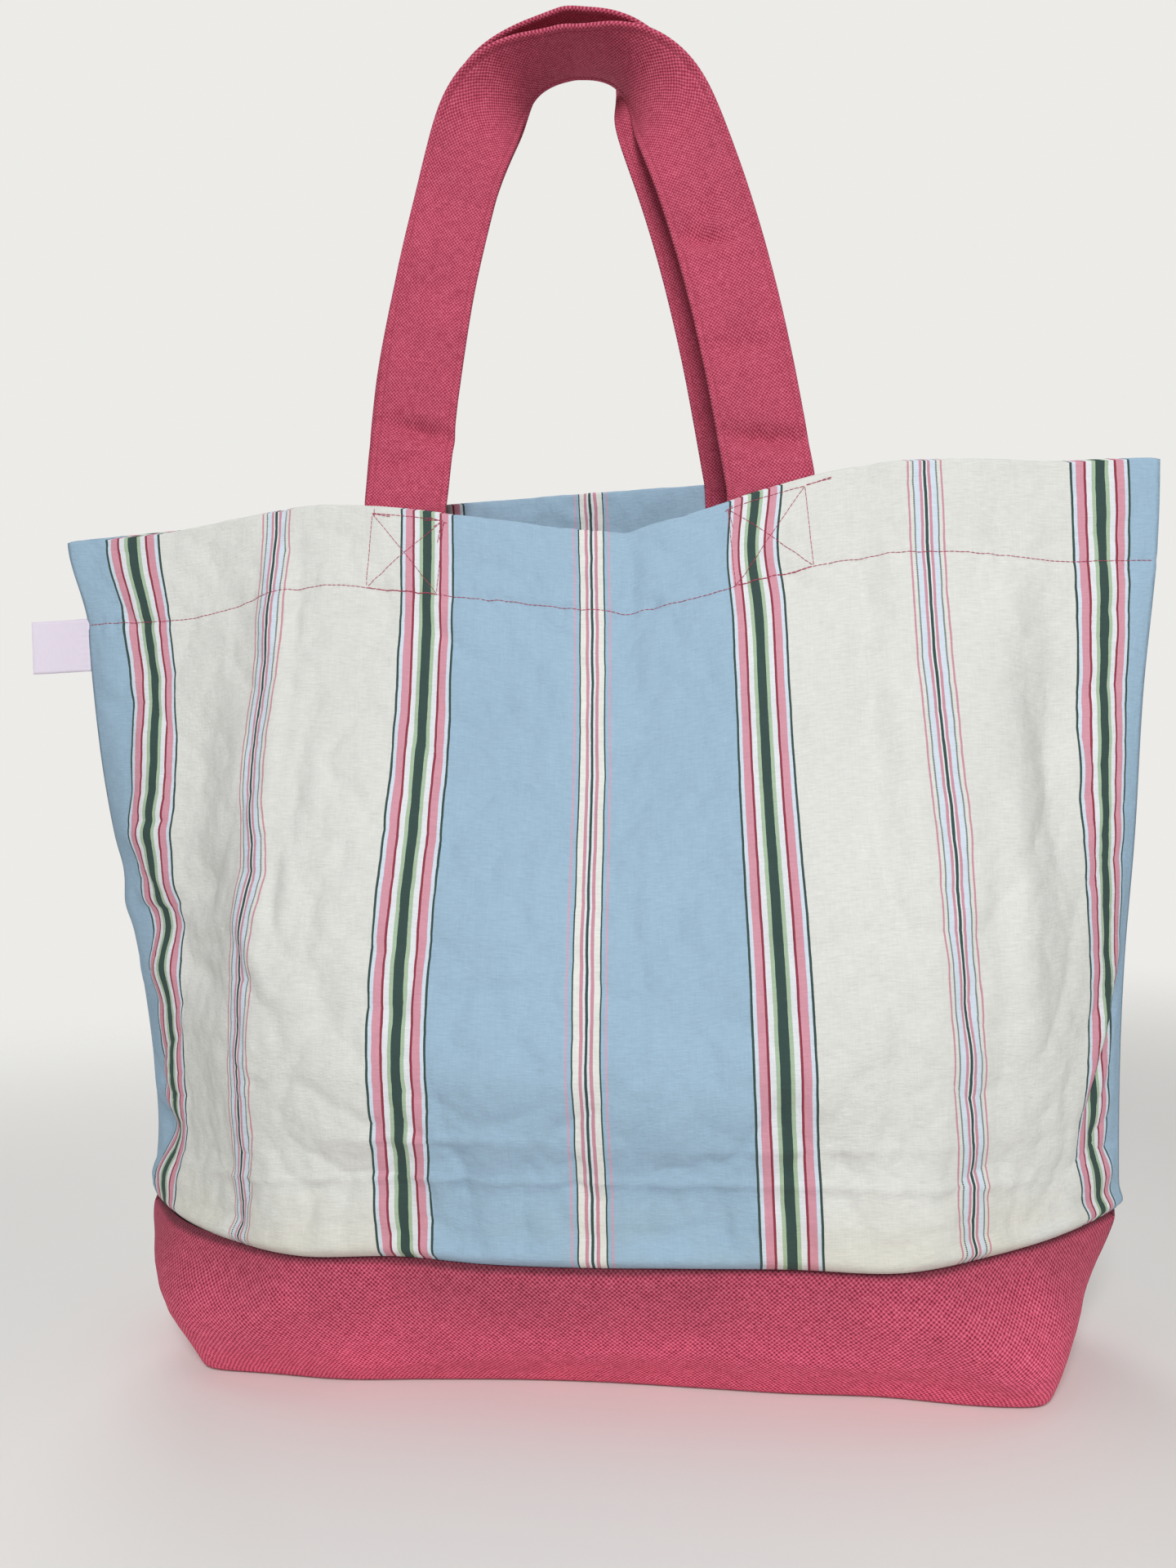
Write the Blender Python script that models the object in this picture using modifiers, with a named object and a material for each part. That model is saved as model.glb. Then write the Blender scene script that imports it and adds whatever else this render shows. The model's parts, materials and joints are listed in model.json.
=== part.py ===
"""Beach bag: a striped cotton tote with a canvas base, two canvas straps and a seam label.

The middle of the base is at the origin, the front faces -Y and +Z is up. The bag has the shape
that it takes when it hangs by its straps: a full belly, a nearly closed mouth, the straps drawn
up into two arches. Sewn seams are gaps of a few tenths of a millimetre between the pieces.
"""

import math

import bmesh
import bpy
import numpy as np
from mathutils import Matrix, Vector

FRONT = -1
BACK = 1
SIDE_NAMES = {FRONT: "front", BACK: "back"}

# Striped cloth: shape of the body at four heights, from the base seam up to the rim
HALF_WIDTHS = (0.281, 0.289, 0.310, 0.3175)
BULGES = {FRONT: (0.095, 0.096, 0.046, 0.010), BACK: (0.085, 0.085, 0.060, 0.042)}
SQUARENESS = (3.8, 4.4, 4.6, 5.0)
SEAM_HEIGHT = 0.080
CORNER_HEIGHT = 0.488
RIM_RISES = {FRONT: 0.002, BACK: 0.016}
RIM_RISE_POWER = 4
DIP_DEPTH = 0.020
DIP_CENTRE = 0.020
DIP_REACH_LEFT = 0.100
DIP_REACH_RIGHT = 0.060
CLOTH = 0.0010
FOLD_GAP = 0.0005
HEM_DEPTH = 0.048
HEM_ALLOWANCE = 0.003
HEM_END_CUT = 0.045
SEAM_GAP = 0.0004

# Canvas base
CANVAS = 0.0016
BASE_HALF_LENGTH = 0.241
BASE_HALF_DEPTH = 0.0625
BASE_SQUARENESS = 50.0
BASE_EDGE_RADIUS = 0.007
BASE_TUCK_POWER = 1.5
BASE_TAPER_POWER = 1.2
BASE_CORNER_POWER = 2.5

# Straps
STRAP_WIDTH = 0.050
STRAP = 0.003
STRAP_GAP = 0.0006
STRAP_CENTRE = 0.1075
STRAP_END_LENGTH = 0.042
STRAP_OUTLINE_X = (1.00, 0.895, 0.765, 0.60, 0.455, 0.25, 0.00)
STRAP_OUTLINE_Z = (0.00, 0.30, 0.56, 0.79, 0.91, 0.98, 1.00)
STRAP_TOPS = {FRONT: 0.754, BACK: 0.768}
STRAP_TOP_Y = {FRONT: 0.003, BACK: 0.016}
STRAP_SHIFTS = {FRONT: 0.0, BACK: -0.009}
SHIFT_FADE_START = 0.35
SHIFT_FADE_END = 0.90
TWIST_START = 0.42
TWIST_END = 0.94
HINGE_LIFT = 0.0003
FOOT_GAP = 0.0002

# Thread
THREAD_RADIUS = 0.00025
THREAD_GAP = 0.0004
THREAD_STEP = 0.0006
BOX_HALF_WIDTH = 0.020
BOX_TOP_INSET = 0.005
EDGE_STITCH_INSET = 0.004

# Label tab in the left side seam
LABEL_LENGTH = 0.040
LABEL_HEIGHT = 0.033
LABEL_TOP = 0.440
LABEL_TAPE = 0.0005
LABEL_FOLD_GAP = 0.0004
LABEL_SEAM_GAP = 0.0015

# Mesh counts
PANEL_COLUMNS = 32
PANEL_ROWS = 9
HEM_ROWS = 3
FOLD_ROWS = 4
BASE_COLUMNS = 40
BASE_WALL_ROWS = 5
BASE_EDGE_ROWS = 3
STRAP_ROWS_PER_HALF = 26
STRAP_END_COLUMNS = 4
BOX_PIECES = 4
SECTION_SAMPLES = 400
SEARCH_STEPS = 40
SLOPE_STEP = 0.004
MERGE_DISTANCE = 0.00001
SHARP_ANGLE = math.radians(40)

# Finishes: sRGB colour, roughness
FINISHES = {
    "striped_cotton": ((217, 218, 213), 0.85),
    "raspberry_canvas": ((184, 66, 96), 0.9),
    "raspberry_thread": ((176, 52, 84), 0.7),
    "white_tape": ((238, 238, 240), 0.6),
}


def clear_scene():
    for thing in list(bpy.data.objects):
        bpy.data.objects.remove(thing, do_unlink=True)


def linear(channel):
    value = channel / 255
    if value <= 0.04045:
        return value / 12.92
    return ((value + 0.055) / 1.055) ** 2.4


def make_material(name):
    colour, roughness = FINISHES[name]
    material = bpy.data.materials.new(name)
    material.use_nodes = True
    shader = material.node_tree.nodes["Principled BSDF"]
    shader.inputs["Base Color"].default_value = [linear(c) for c in colour] + [1.0]
    shader.inputs["Roughness"].default_value = roughness
    shader.inputs["Metallic"].default_value = 0.0
    return material


def along(stations, part):
    """A smooth curve through equally spaced values, read at part, 0 to 1."""
    last = len(stations) - 1
    place = min(max(part, 0.0), 1.0) * last
    i = min(int(place), last - 1)
    f = place - i
    before = stations[max(i - 1, 0)]
    start = stations[i]
    end = stations[i + 1]
    after = stations[min(i + 2, last)]
    lead = (end - before) / 2
    trail = (after - start) / 2
    cube = 2 * (start - end) + lead + trail
    square = 3 * (end - start) - 2 * lead - trail
    return ((cube * f + square) * f + lead) * f + start


def ease(value, start, end):
    f = min(max((value - start) / (end - start), 0.0), 1.0)
    return f * f * (3 - 2 * f)


def section_point(across, half_width, bulge, squareness):
    """A level cut through one side of the bag, at equal steps of cloth from seam (-1) to seam (1).

    Returns x and how far the cloth stands out from the plane of the side seams.
    """
    u = np.linspace(0, 1, SECTION_SAMPLES)
    x = half_width * u
    out = bulge * (1 - u**squareness)
    steps = np.hypot(np.diff(x), np.diff(out))
    length = np.concatenate([[0], np.cumsum(steps)])
    here = abs(across) * length[-1]
    return math.copysign(np.interp(here, length, x), across), np.interp(here, length, out)


def rim_height(side, x):
    height = CORNER_HEIGHT + RIM_RISES[side] * (1 - abs(x / HALF_WIDTHS[-1]) ** RIM_RISE_POWER)
    if side == BACK:
        return height
    reach = DIP_REACH_LEFT if x < DIP_CENTRE else DIP_REACH_RIGHT
    part = min(abs(x - DIP_CENTRE) / reach, 1.0)
    return height - DIP_DEPTH * math.cos(part * math.pi / 2) ** 2


def panel_point(side, across, up):
    """A point of the striped cloth: across -1 to 1 between the side seams, up 0 to 1 to the rim."""
    x, out = section_point(
        across, along(HALF_WIDTHS, up), along(BULGES[side], up), along(SQUARENESS, up)
    )
    z = SEAM_HEIGHT + (rim_height(side, x) - SEAM_HEIGHT) * up
    return Vector((x, side * (out + (CLOTH + SEAM_GAP) / 2), z))


def panel_frame(side, across, up):
    """The outward normal and the upward direction of the cloth at a point."""
    left = panel_point(side, max(across - SLOPE_STEP, -1), up)
    right = panel_point(side, min(across + SLOPE_STEP, 1), up)
    low = panel_point(side, across, max(up - SLOPE_STEP, 0))
    high = panel_point(side, across, min(up + SLOPE_STEP, 1))
    rise = (high - low).normalized()
    normal = (right - left).cross(rise).normalized()
    if normal.y * side < 0:
        normal.negate()
    return normal, rise


def on_panel(side, across, up, offset, lift=0.0):
    normal, rise = panel_frame(side, across, up)
    return panel_point(side, across, up) + normal * offset + rise * lift


def across_at(side, x, up):
    """The across value whose point lies at x."""
    low = -1.0
    high = 1.0
    for _ in range(SEARCH_STEPS):
        middle = (low + high) / 2
        if panel_point(side, middle, up).x < x:
            low = middle
        else:
            high = middle
    return low


def up_below_rim(distance):
    return 1 - distance / (CORNER_HEIGHT - SEAM_HEIGHT)


def link(thing, collection, material):
    collection.objects.link(thing)
    thing.data.materials.append(material)
    return thing


def sheet(name, columns, rows, place, thickness, collection, material):
    """A grid whose vertices go where place(column, row) says, thickened evenly to both sides."""
    mesh = bpy.data.meshes.new(name)
    shape = bmesh.new()
    bmesh.ops.create_grid(shape, x_segments=columns, y_segments=rows, size=1.0)
    for vertex in shape.verts:
        column = round((vertex.co.x + 1) / 2 * columns)
        row = round((vertex.co.y + 1) / 2 * rows)
        vertex.co = place(column, row)
    shape.to_mesh(mesh)
    shape.free()
    mesh.shade_smooth()
    thing = link(bpy.data.objects.new(name, mesh), collection, material)
    solidify = thing.modifiers.new("thickness", "SOLIDIFY")
    solidify.thickness = thickness
    solidify.offset = 0.0
    return thing


def thread(name, points, collection, material):
    curve = bpy.data.curves.new(name, "CURVE")
    curve.dimensions = "3D"
    curve.bevel_depth = THREAD_RADIUS
    curve.bevel_resolution = 0
    curve.use_fill_caps = True
    spline = curve.splines.new("POLY")
    spline.points.add(len(points) - 1)
    for knot, point in zip(spline.points, points):
        knot.co = (*point, 1.0)
    return link(bpy.data.objects.new(name, curve), collection, material)


def panel_path():
    """Rows of the panel as (reach, up, offset, lift): up the outside, over the rim, down inside.

    The turned-in part reaches less far, to leave room for the other panel's hem at the side seams.
    """
    hem = up_below_rim(HEM_DEPTH)
    rows = [(1.0, hem * i / PANEL_ROWS, 0.0, 0.0) for i in range(PANEL_ROWS)]
    rows += [(1.0, hem + (1 - hem) * i / HEM_ROWS, 0.0, 0.0) for i in range(HEM_ROWS + 1)]
    radius = (CLOTH + FOLD_GAP) / 2
    for i in range(1, FOLD_ROWS):
        turn = math.pi * i / FOLD_ROWS
        reach = 1 - HEM_END_CUT * i / FOLD_ROWS
        rows.append((reach, 1.0, -radius * (1 - math.cos(turn)), radius * math.sin(turn)))
    reach = 1 - HEM_END_CUT
    for i in range(HEM_ROWS):
        rows.append((reach, 1 - (1 - hem) * i / HEM_ROWS, -2 * radius, 0.0))
    rows.append((reach, up_below_rim(HEM_DEPTH + HEM_ALLOWANCE), -2 * radius, 0.0))
    return rows


def make_panel(side, collection, material):
    path = panel_path()

    def place(column, row):
        reach, up, offset, lift = path[row]
        return on_panel(side, reach * (-1 + 2 * column / PANEL_COLUMNS), up, offset, lift)

    name = SIDE_NAMES[side] + "_panel"
    return sheet(name, PANEL_COLUMNS, len(path) - 1, place, CLOTH, collection, material)


def base_levels():
    """Levels of the base, wall and then rounded edge: height, part of the way down, inset."""
    top = SEAM_HEIGHT - SEAM_GAP
    levels = []
    for i in range(BASE_WALL_ROWS + 1):
        height = top + (BASE_EDGE_RADIUS - top) * i / BASE_WALL_ROWS
        levels.append((height, 1 - height / top, 0.0))
    for i in range(1, BASE_EDGE_ROWS + 1):
        turn = math.pi / 2 * i / BASE_EDGE_ROWS
        height = BASE_EDGE_RADIUS * (1 - math.sin(turn))
        levels.append((height, 1 - height / top, BASE_EDGE_RADIUS * (1 - math.cos(turn))))
    return levels


def base_point(round_part, level):
    """A point of the base's outer face: round_part 0 to 1 is the front, 1 to 2 the back."""
    height, down, inset = level
    side = FRONT if round_part < 1 else BACK
    across = -1 + 2 * round_part if side == FRONT else 3 - 2 * round_part
    top_bulge = BULGES[side][0] + CLOTH / 2
    bulge = top_bulge + (BASE_HALF_DEPTH - top_bulge) * down**BASE_TUCK_POWER
    half = HALF_WIDTHS[0] + (BASE_HALF_LENGTH - HALF_WIDTHS[0]) * down**BASE_TAPER_POWER
    squareness = SQUARENESS[0] + (BASE_SQUARENESS - SQUARENESS[0]) * down**BASE_CORNER_POWER
    x, out = section_point(across, half - inset, bulge - inset, squareness)
    return Vector((x, side * out, height))


def make_base(collection, material):
    """The canvas tub: one ring of wall with a rounded lower edge and a flat bottom."""
    levels = base_levels()
    mesh = bpy.data.meshes.new("canvas_base")
    shape = bmesh.new()
    columns = 2 * BASE_COLUMNS
    bmesh.ops.create_grid(shape, x_segments=columns, y_segments=len(levels) - 1, size=1.0)
    for vertex in shape.verts:
        column = round((vertex.co.x + 1) / 2 * columns)
        row = round((vertex.co.y + 1) / 2 * (len(levels) - 1))
        vertex.co = base_point(column / BASE_COLUMNS % 2, levels[row])
    bmesh.ops.remove_doubles(shape, verts=shape.verts, dist=MERGE_DISTANCE)
    rims = [edge for edge in shape.edges if edge.is_boundary]
    low_rim = [edge for edge in rims if edge.verts[0].co.z < BASE_EDGE_RADIUS]
    bmesh.ops.contextual_create(shape, geom=low_rim)
    bmesh.ops.recalc_face_normals(shape, faces=shape.faces)
    bottom = min(shape.faces, key=lambda face: face.calc_center_median().z)
    if bottom.normal.z > 0:
        bmesh.ops.reverse_faces(shape, faces=shape.faces)
    shape.to_mesh(mesh)
    shape.free()
    mesh.shade_smooth()
    mesh.set_sharp_from_angle(angle=SHARP_ANGLE)
    thing = link(bpy.data.objects.new("canvas_base", mesh), collection, material)
    solidify = thing.modifiers.new("thickness", "SOLIDIFY")
    solidify.thickness = CANVAS
    solidify.offset = -1.0
    solidify.use_even_offset = True
    return thing


def hem_thickness():
    return 2 * CLOTH + FOLD_GAP


def hinge_point(side):
    """A point on the line that a strap bends about: over the middle of the hem's thickness."""
    across = across_at(side, STRAP_CENTRE, 1.0)
    rim = panel_point(side, across, 1.0)
    inward = -side
    y = rim.y + inward * (hem_thickness() - CLOTH) / 2
    top = rim.z + (CLOTH + FOLD_GAP) / 2 + CLOTH / 2
    return Vector((0.0, y, top + HINGE_LIFT))


def foot_x(side, sign):
    """Middle of the place where a strap is sewn on."""
    return sign * STRAP_CENTRE + STRAP_SHIFTS[side]


def strap_spine(side):
    """Centre line of a strap's loop, left foot to right foot, with its part of the height."""
    hinge = hinge_point(side)
    inward = -side
    foot_y = hinge.y + inward * (hem_thickness() / 2 + STRAP_GAP + STRAP / 2)
    foot_z = hinge.z + FOOT_GAP
    spine = []
    for i in range(-STRAP_ROWS_PER_HALF, STRAP_ROWS_PER_HALF + 1):
        part = 1 - abs(i) / STRAP_ROWS_PER_HALF
        height = along(STRAP_OUTLINE_Z, part)
        x = math.copysign(along(STRAP_OUTLINE_X, part) * STRAP_CENTRE, i)
        x += STRAP_SHIFTS[side] * (1 - ease(part, SHIFT_FADE_START, SHIFT_FADE_END))
        y = foot_y + (STRAP_TOP_Y[side] - foot_y) * height
        z = foot_z + (STRAP_TOPS[side] - foot_z) * height
        spine.append((Vector((x, y, z)), part))
    return spine


def strap_frames(side):
    """For each point of the spine: the point and the direction of the strap's width.

    The straps lie flat against the hem and turn a quarter on the way up, outer edge forward,
    so that they lie level where a hook would carry them.
    """
    spine = strap_spine(side)
    frames = []
    for i, (point, part) in enumerate(spine):
        before = spine[max(i - 1, 0)][0]
        after = spine[min(i + 1, len(spine) - 1)][0]
        ahead = (after - before).normalized()
        outward = ahead.cross(Vector((0, 1, 0))).normalized()
        twist = math.pi / 2 * ease(part, TWIST_START, TWIST_END)
        level = ease(part, 0.0, TWIST_START)
        flat = Vector((-1 if i < STRAP_ROWS_PER_HALF else 1, 0, 0))
        if i == STRAP_ROWS_PER_HALF:
            flat = outward
        outward = flat.lerp(outward, level).normalized()
        frames.append((point, outward * math.cos(twist) + Vector((0, -1, 0)) * math.sin(twist)))
    return frames


def make_strap(side, collection, material):
    """The loop of a strap, with an edge of its mesh under each line of stitching."""
    frames = strap_frames(side)
    half = STRAP_WIDTH / 2
    lines = (-half, EDGE_STITCH_INSET - half, 0.0, half - EDGE_STITCH_INSET, half)

    def place(column, row):
        point, width = frames[column]
        return point + width * lines[row]

    name = SIDE_NAMES[side] + "_strap"
    return sheet(name, len(frames) - 1, len(lines) - 1, place, STRAP, collection, material)


def make_strap_edge_stitch(side, edge, sign, collection, material):
    """One line of stitching along an edge of a strap, on the face that shows at the legs."""
    reach = sign * (STRAP_WIDTH / 2 - EDGE_STITCH_INSET)
    proud = STRAP / 2 + THREAD_GAP + THREAD_RADIUS
    frames = strap_frames(side)
    line = [point + width * reach for point, width in frames]
    points = []
    for i, (_, width) in enumerate(frames):
        ahead = line[min(i + 1, len(line) - 1)] - line[max(i - 1, 0)]
        points.append(line[i] + ahead.cross(width).normalized() * proud)
    name = f"{SIDE_NAMES[side]}_strap_{edge}_stitch"
    return thread(name, points, collection, material)


def make_strap_end(side, hand, sign, collection, material):
    """The end of a strap, sewn flat on the inside of the hem."""
    offset = -(CLOTH / 2 + FOLD_GAP + CLOTH + STRAP_GAP + STRAP / 2)

    def place(column, row):
        x = foot_x(side, sign) + STRAP_WIDTH * (column / STRAP_END_COLUMNS - 0.5)
        up = up_below_rim(STRAP_END_LENGTH * (1 - row / HEM_ROWS))
        return on_panel(side, across_at(side, x, up), up, offset)

    name = f"{SIDE_NAMES[side]}_strap_{hand}_end"
    return sheet(name, STRAP_END_COLUMNS, HEM_ROWS, place, STRAP, collection, material)


def make_hem_stitch(side, collection, material):
    hem = up_below_rim(HEM_DEPTH)
    proud = CLOTH / 2 + THREAD_GAP + THREAD_RADIUS
    steps = range(1, PANEL_COLUMNS)
    points = [on_panel(side, -1 + 2 * i / PANEL_COLUMNS, hem, proud) for i in steps]
    return thread(SIDE_NAMES[side] + "_hem_stitch", points, collection, material)


def make_box_stitch(side, hand, sign, collection, material):
    """One run of thread round a box and across both diagonals, each later pass over the last."""
    low = HEM_DEPTH - BOX_TOP_INSET
    corners = {
        "top_left": (-BOX_HALF_WIDTH, BOX_TOP_INSET),
        "top_right": (BOX_HALF_WIDTH, BOX_TOP_INSET),
        "low_right": (BOX_HALF_WIDTH, low),
        "low_left": (-BOX_HALF_WIDTH, low),
    }
    run = (
        ("top_left", 0),
        ("top_right", 0),
        ("low_right", 0),
        ("low_left", 0),
        ("top_left", 1),
        ("low_right", 1),
        ("top_right", 1),
        ("low_left", 2),
    )
    points = []
    for (start, start_layer), (end, end_layer) in zip(run, run[1:]):
        for i in range(BOX_PIECES):
            f = i / BOX_PIECES
            x = corners[start][0] * (1 - f) + corners[end][0] * f
            below = corners[start][1] * (1 - f) + corners[end][1] * f
            crossing = end == "low_left" and end_layer == 2
            layer = 2 if crossing and i else start_layer + (end_layer - start_layer) * f
            points.append((x, below, layer))
    points.append((*corners["low_left"], 2))
    route = []
    for x, below, layer in points:
        up = up_below_rim(below)
        proud = CLOTH / 2 + THREAD_GAP + THREAD_RADIUS + THREAD_STEP * layer
        across = across_at(side, foot_x(side, sign) + x, up)
        route.append(on_panel(side, across, up, proud))
    return thread(f"{SIDE_NAMES[side]}_{hand}_box_stitch", route, collection, material)


def label_hinge():
    up = (LABEL_TOP - LABEL_HEIGHT / 2 - SEAM_HEIGHT) / (CORNER_HEIGHT - SEAM_HEIGHT)
    edge = -along(HALF_WIDTHS, up) - CLOTH
    return Vector((edge - LABEL_SEAM_GAP, 0.0, LABEL_TOP - LABEL_HEIGHT / 2))


def make_label(collection, material):
    """A tape folded in two, its fold outward and its ends at the seam."""
    hinge = label_hinge()
    radius = (LABEL_TAPE + LABEL_FOLD_GAP) / 2
    straight = LABEL_LENGTH - radius
    route = [(0.0, -radius), (straight / 2, -radius), (straight, -radius)]
    for i in range(1, FOLD_ROWS):
        turn = math.pi * i / FOLD_ROWS
        route.append((straight + radius * math.sin(turn), -radius * math.cos(turn)))
    route += [(straight, radius), (straight / 2, radius), (0.0, radius)]

    def place(column, row):
        out, y = route[column]
        return hinge + Vector((-out, y, LABEL_HEIGHT * (row - 0.5)))

    return sheet("label_tab", len(route) - 1, 1, place, LABEL_TAPE, collection, material)


def make_hinge(name, point, collection, pieces):
    """An empty on a joint's axis that carries the pieces which move about it."""
    hinge = bpy.data.objects.new(name, None)
    hinge.empty_display_size = STRAP_WIDTH
    hinge.location = point
    collection.objects.link(hinge)
    for piece in pieces:
        piece.parent = hinge
        piece.matrix_parent_inverse = Matrix.Translation(point).inverted()


def main():
    clear_scene()
    collection = bpy.data.collections.new("beach_bag")
    bpy.context.scene.collection.children.link(collection)
    cotton, canvas, thread_finish, tape = (make_material(name) for name in FINISHES)
    hands = (("left", -1), ("right", 1))
    edges = (("inner", -1), ("outer", 1))
    make_base(collection, canvas)
    for side in (FRONT, BACK):
        make_panel(side, collection, cotton)
        make_hem_stitch(side, collection, thread_finish)
        for hand, sign in hands:
            make_strap_end(side, hand, sign, collection, canvas)
            make_box_stitch(side, hand, sign, collection, thread_finish)
        loop = [make_strap(side, collection, canvas)]
        for edge, sign in edges:
            loop.append(make_strap_edge_stitch(side, edge, sign, collection, thread_finish))
        hinge = hinge_point(side)
        make_hinge(SIDE_NAMES[side] + "_strap_hinge", hinge, collection, loop)
        print(SIDE_NAMES[side], "strap hinge at", [round(v, 5) for v in hinge])
    label = make_label(collection, tape)
    make_hinge("label_hinge", label_hinge(), collection, [label])
    print("label hinge at", [round(v, 5) for v in label_hinge()])


main()
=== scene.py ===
"""Looks of a beach bag: striped cloth with its folds, canvas base, straps, stitches and label.

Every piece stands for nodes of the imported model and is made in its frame: metres, the front
at -Y, +Z up, the middle of the base at the origin.
"""

import json
import math

import bmesh
import bpy
import numpy as np
from mathutils import Matrix, Vector, noise


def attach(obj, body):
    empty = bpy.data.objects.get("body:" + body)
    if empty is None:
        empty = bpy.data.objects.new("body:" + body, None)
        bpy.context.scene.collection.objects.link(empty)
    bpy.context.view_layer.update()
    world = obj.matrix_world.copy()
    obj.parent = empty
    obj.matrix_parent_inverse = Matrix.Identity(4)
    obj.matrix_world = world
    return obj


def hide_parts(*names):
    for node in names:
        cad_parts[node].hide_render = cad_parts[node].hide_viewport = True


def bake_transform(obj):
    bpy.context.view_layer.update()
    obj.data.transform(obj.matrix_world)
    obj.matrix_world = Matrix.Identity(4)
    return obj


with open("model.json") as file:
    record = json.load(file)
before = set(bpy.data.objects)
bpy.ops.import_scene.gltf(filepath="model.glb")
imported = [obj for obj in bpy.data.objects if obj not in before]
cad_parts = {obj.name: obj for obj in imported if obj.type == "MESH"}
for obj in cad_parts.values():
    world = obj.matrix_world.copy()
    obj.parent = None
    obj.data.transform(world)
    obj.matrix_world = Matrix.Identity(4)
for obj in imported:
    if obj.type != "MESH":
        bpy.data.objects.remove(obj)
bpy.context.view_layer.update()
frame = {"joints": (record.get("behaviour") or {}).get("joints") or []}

FRONT = -1
BACK = 1
SIDE_NAMES = {FRONT: "front", BACK: "back"}
HANDS = (("left", -1), ("right", 1))

# Camera: the photograph's viewpoint, with the image taken as 1440 by 1920
CAMERA_PLACE = Vector((0.094, -0.657, 0.324))
CAMERA_YAW = math.radians(-8.55)
CAMERA_ROLL = math.radians(-2.19)
FOCAL_PIXELS = 1383
IMAGE_HEIGHT = 1920
SENSOR = 36.0
CLIP_START = 0.01

# Lamps: name, place, what it points at, width of its disc, watts
LAMPS = (
    ("key", (0.15, -1.50, 1.26), (0, 0, 0.28), 0.6, 22.5),
    ("side", (0.85, -0.75, 0.14), (0.20, 0, 0.06), 0.4, 1.2),
    ("top", (-0.2, 0.1, 2.3), (0, 0, 0.3), 1.6, 5),
    ("rear", (-0.9, 1.7, 0.9), (0, 0, 0.3), 1.2, 14),
)
FILL = 0.22
FLOOR_RADIUS = 1.6
FLOOR_SIDES = 96
FLOOR_FADE = (0.45, 1.5)
FLOOR_DROP = 0.0003

# Striped cloth: shape of the body at four heights, from the base seam up to the rim, and stations
# from the left side seam to the right one
HALF_WIDTHS = (0.281, 0.289, 0.310, 0.3175)
BULGES = {FRONT: (0.095, 0.096, 0.046, 0.010), BACK: (0.085, 0.085, 0.060, 0.042)}
SQUARENESS = (3.8, 4.4, 4.6, 5.0)
SEAM_HEIGHT = 0.080
CORNER_HEIGHT = 0.488
CLOTH_HEIGHT = CORNER_HEIGHT - SEAM_HEIGHT
CLOTH_HALF = 0.318
BACK_RIM_RISE = 0.016
BACK_RIM_POWER = 4
FRONT_RIM_MM = (0, 1, 5.5, 8.5, 2.2, -8, -17.5, -15, -2, 6.9, 6.3, 2.8, 1)
DIP_CREASE = 0.0035
DIP_CREASE_PLACE = 0.0235
DIP_CREASE_REACH = 0.014
CLOTH = 0.0010  # thickness
FOLD_GAP = 0.0005
HEM_INNER = 1.5 * CLOTH + FOLD_GAP  # from the middle of the outer layer to the hem's inner face
HEM_DEPTHS_MM = {
    FRONT: (52.5, 54, 50, 49.5, 46.5, 50.5, 51.5, 53, 55),
    BACK: (51, 52, 50, 49, 48, 50, 51, 52, 51),
}
HEM_ALLOWANCE = 0.003
HEM_MEAN = 0.054
HEM_END_CUT = 0.045
HEM_PUCKER = 0.0008
HEM_PUCKER_PITCH = 0.0105
HEM_PUCKER_REACH = 0.008
HEM_PUCKER_CHANGE = 25
HEM_PUCKER_MEAN = 0.5
HEM_SINK = 0.0006
HEM_SINK_REACH = 0.0022
SEAM_GAP = 0.0004
SEAM_PLAN_MM = (0, 4.5, 4, 4.5, -6, -1, 0, -2, -2, 6.5, 0.5, -1, 0)
SEAM_PLAN_HEIGHT = 0.055
SEAM_TUCK = 0.0026
SEAM_TUCK_REACH = 0.0030
SEAM_ROLL = 0.0022
SEAM_ROLL_RISE = 0.0050
SEAM_HOLD = 0.012
SIDE_HOLD_START = 0.30
STRAP_HOLD = 0.85
STRAP_HOLD_START = 0.36
SIDE_REACH = 0.72
# Left and right side seam in mm, by height above the base seam: bumps (height, reach, how far out)
# and steps (start, end, how far out)
SIDE_BUMPS = {-1: ((6, 26, 5.0), (180, 10, 2.2), (204, 12, -1.54)), 1: ((275, 75, -7.2),)}
SIDE_STEPS = {-1: ((80, 200, 2.5), (355, 408, 10.0)), 1: ()}

# Canvas base
CANVAS = 0.0016  # thickness
INWARDS = -1.0
BASE_TOP = SEAM_HEIGHT - SEAM_GAP
BASE_HALF_LENGTH = 0.241
BASE_HALF_DEPTH = 0.0625
BASE_SQUARENESS = 50.0
BASE_EDGE_RADIUS = 0.004
BASE_END_ROUND = 0.1
BASE_TUCK_POWER = 1.15
BASE_TAPER_POWER = 1.2
BASE_CORNER_POWER = 2.5
BASE_LEFT_BULGE = 0.018
BASE_LEFT_BULGE_HEIGHT = 0.050
BASE_LEFT_BULGE_REACH = 0.030
BASE_LEFT_START = 0.55
BASE_RIGHT_CUT = 0.004
BASE_RIGHT_CUT_HEIGHT = 0.05
BASE_RIGHT_START = 0.6
BASE_SEAM_TUCK = 0.0032
BASE_SEAM_TUCK_REACH = 0.0042
FOOT_DRAW_MM = (0, 4, 3, 0, 2.5, 6.5, 7.5, 5.5, 3.5, 5, -0.5, 0, 0)
FOOT_DRAW_HEIGHT = 0.030
BASE_DENTS = 1.3
BASE_DENT_STRETCH = 2.2
BASE_SEED = 11.0
BASE_STIFF_HEIGHT = 0.02
BASE_STIFF_END = 0.90

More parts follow.
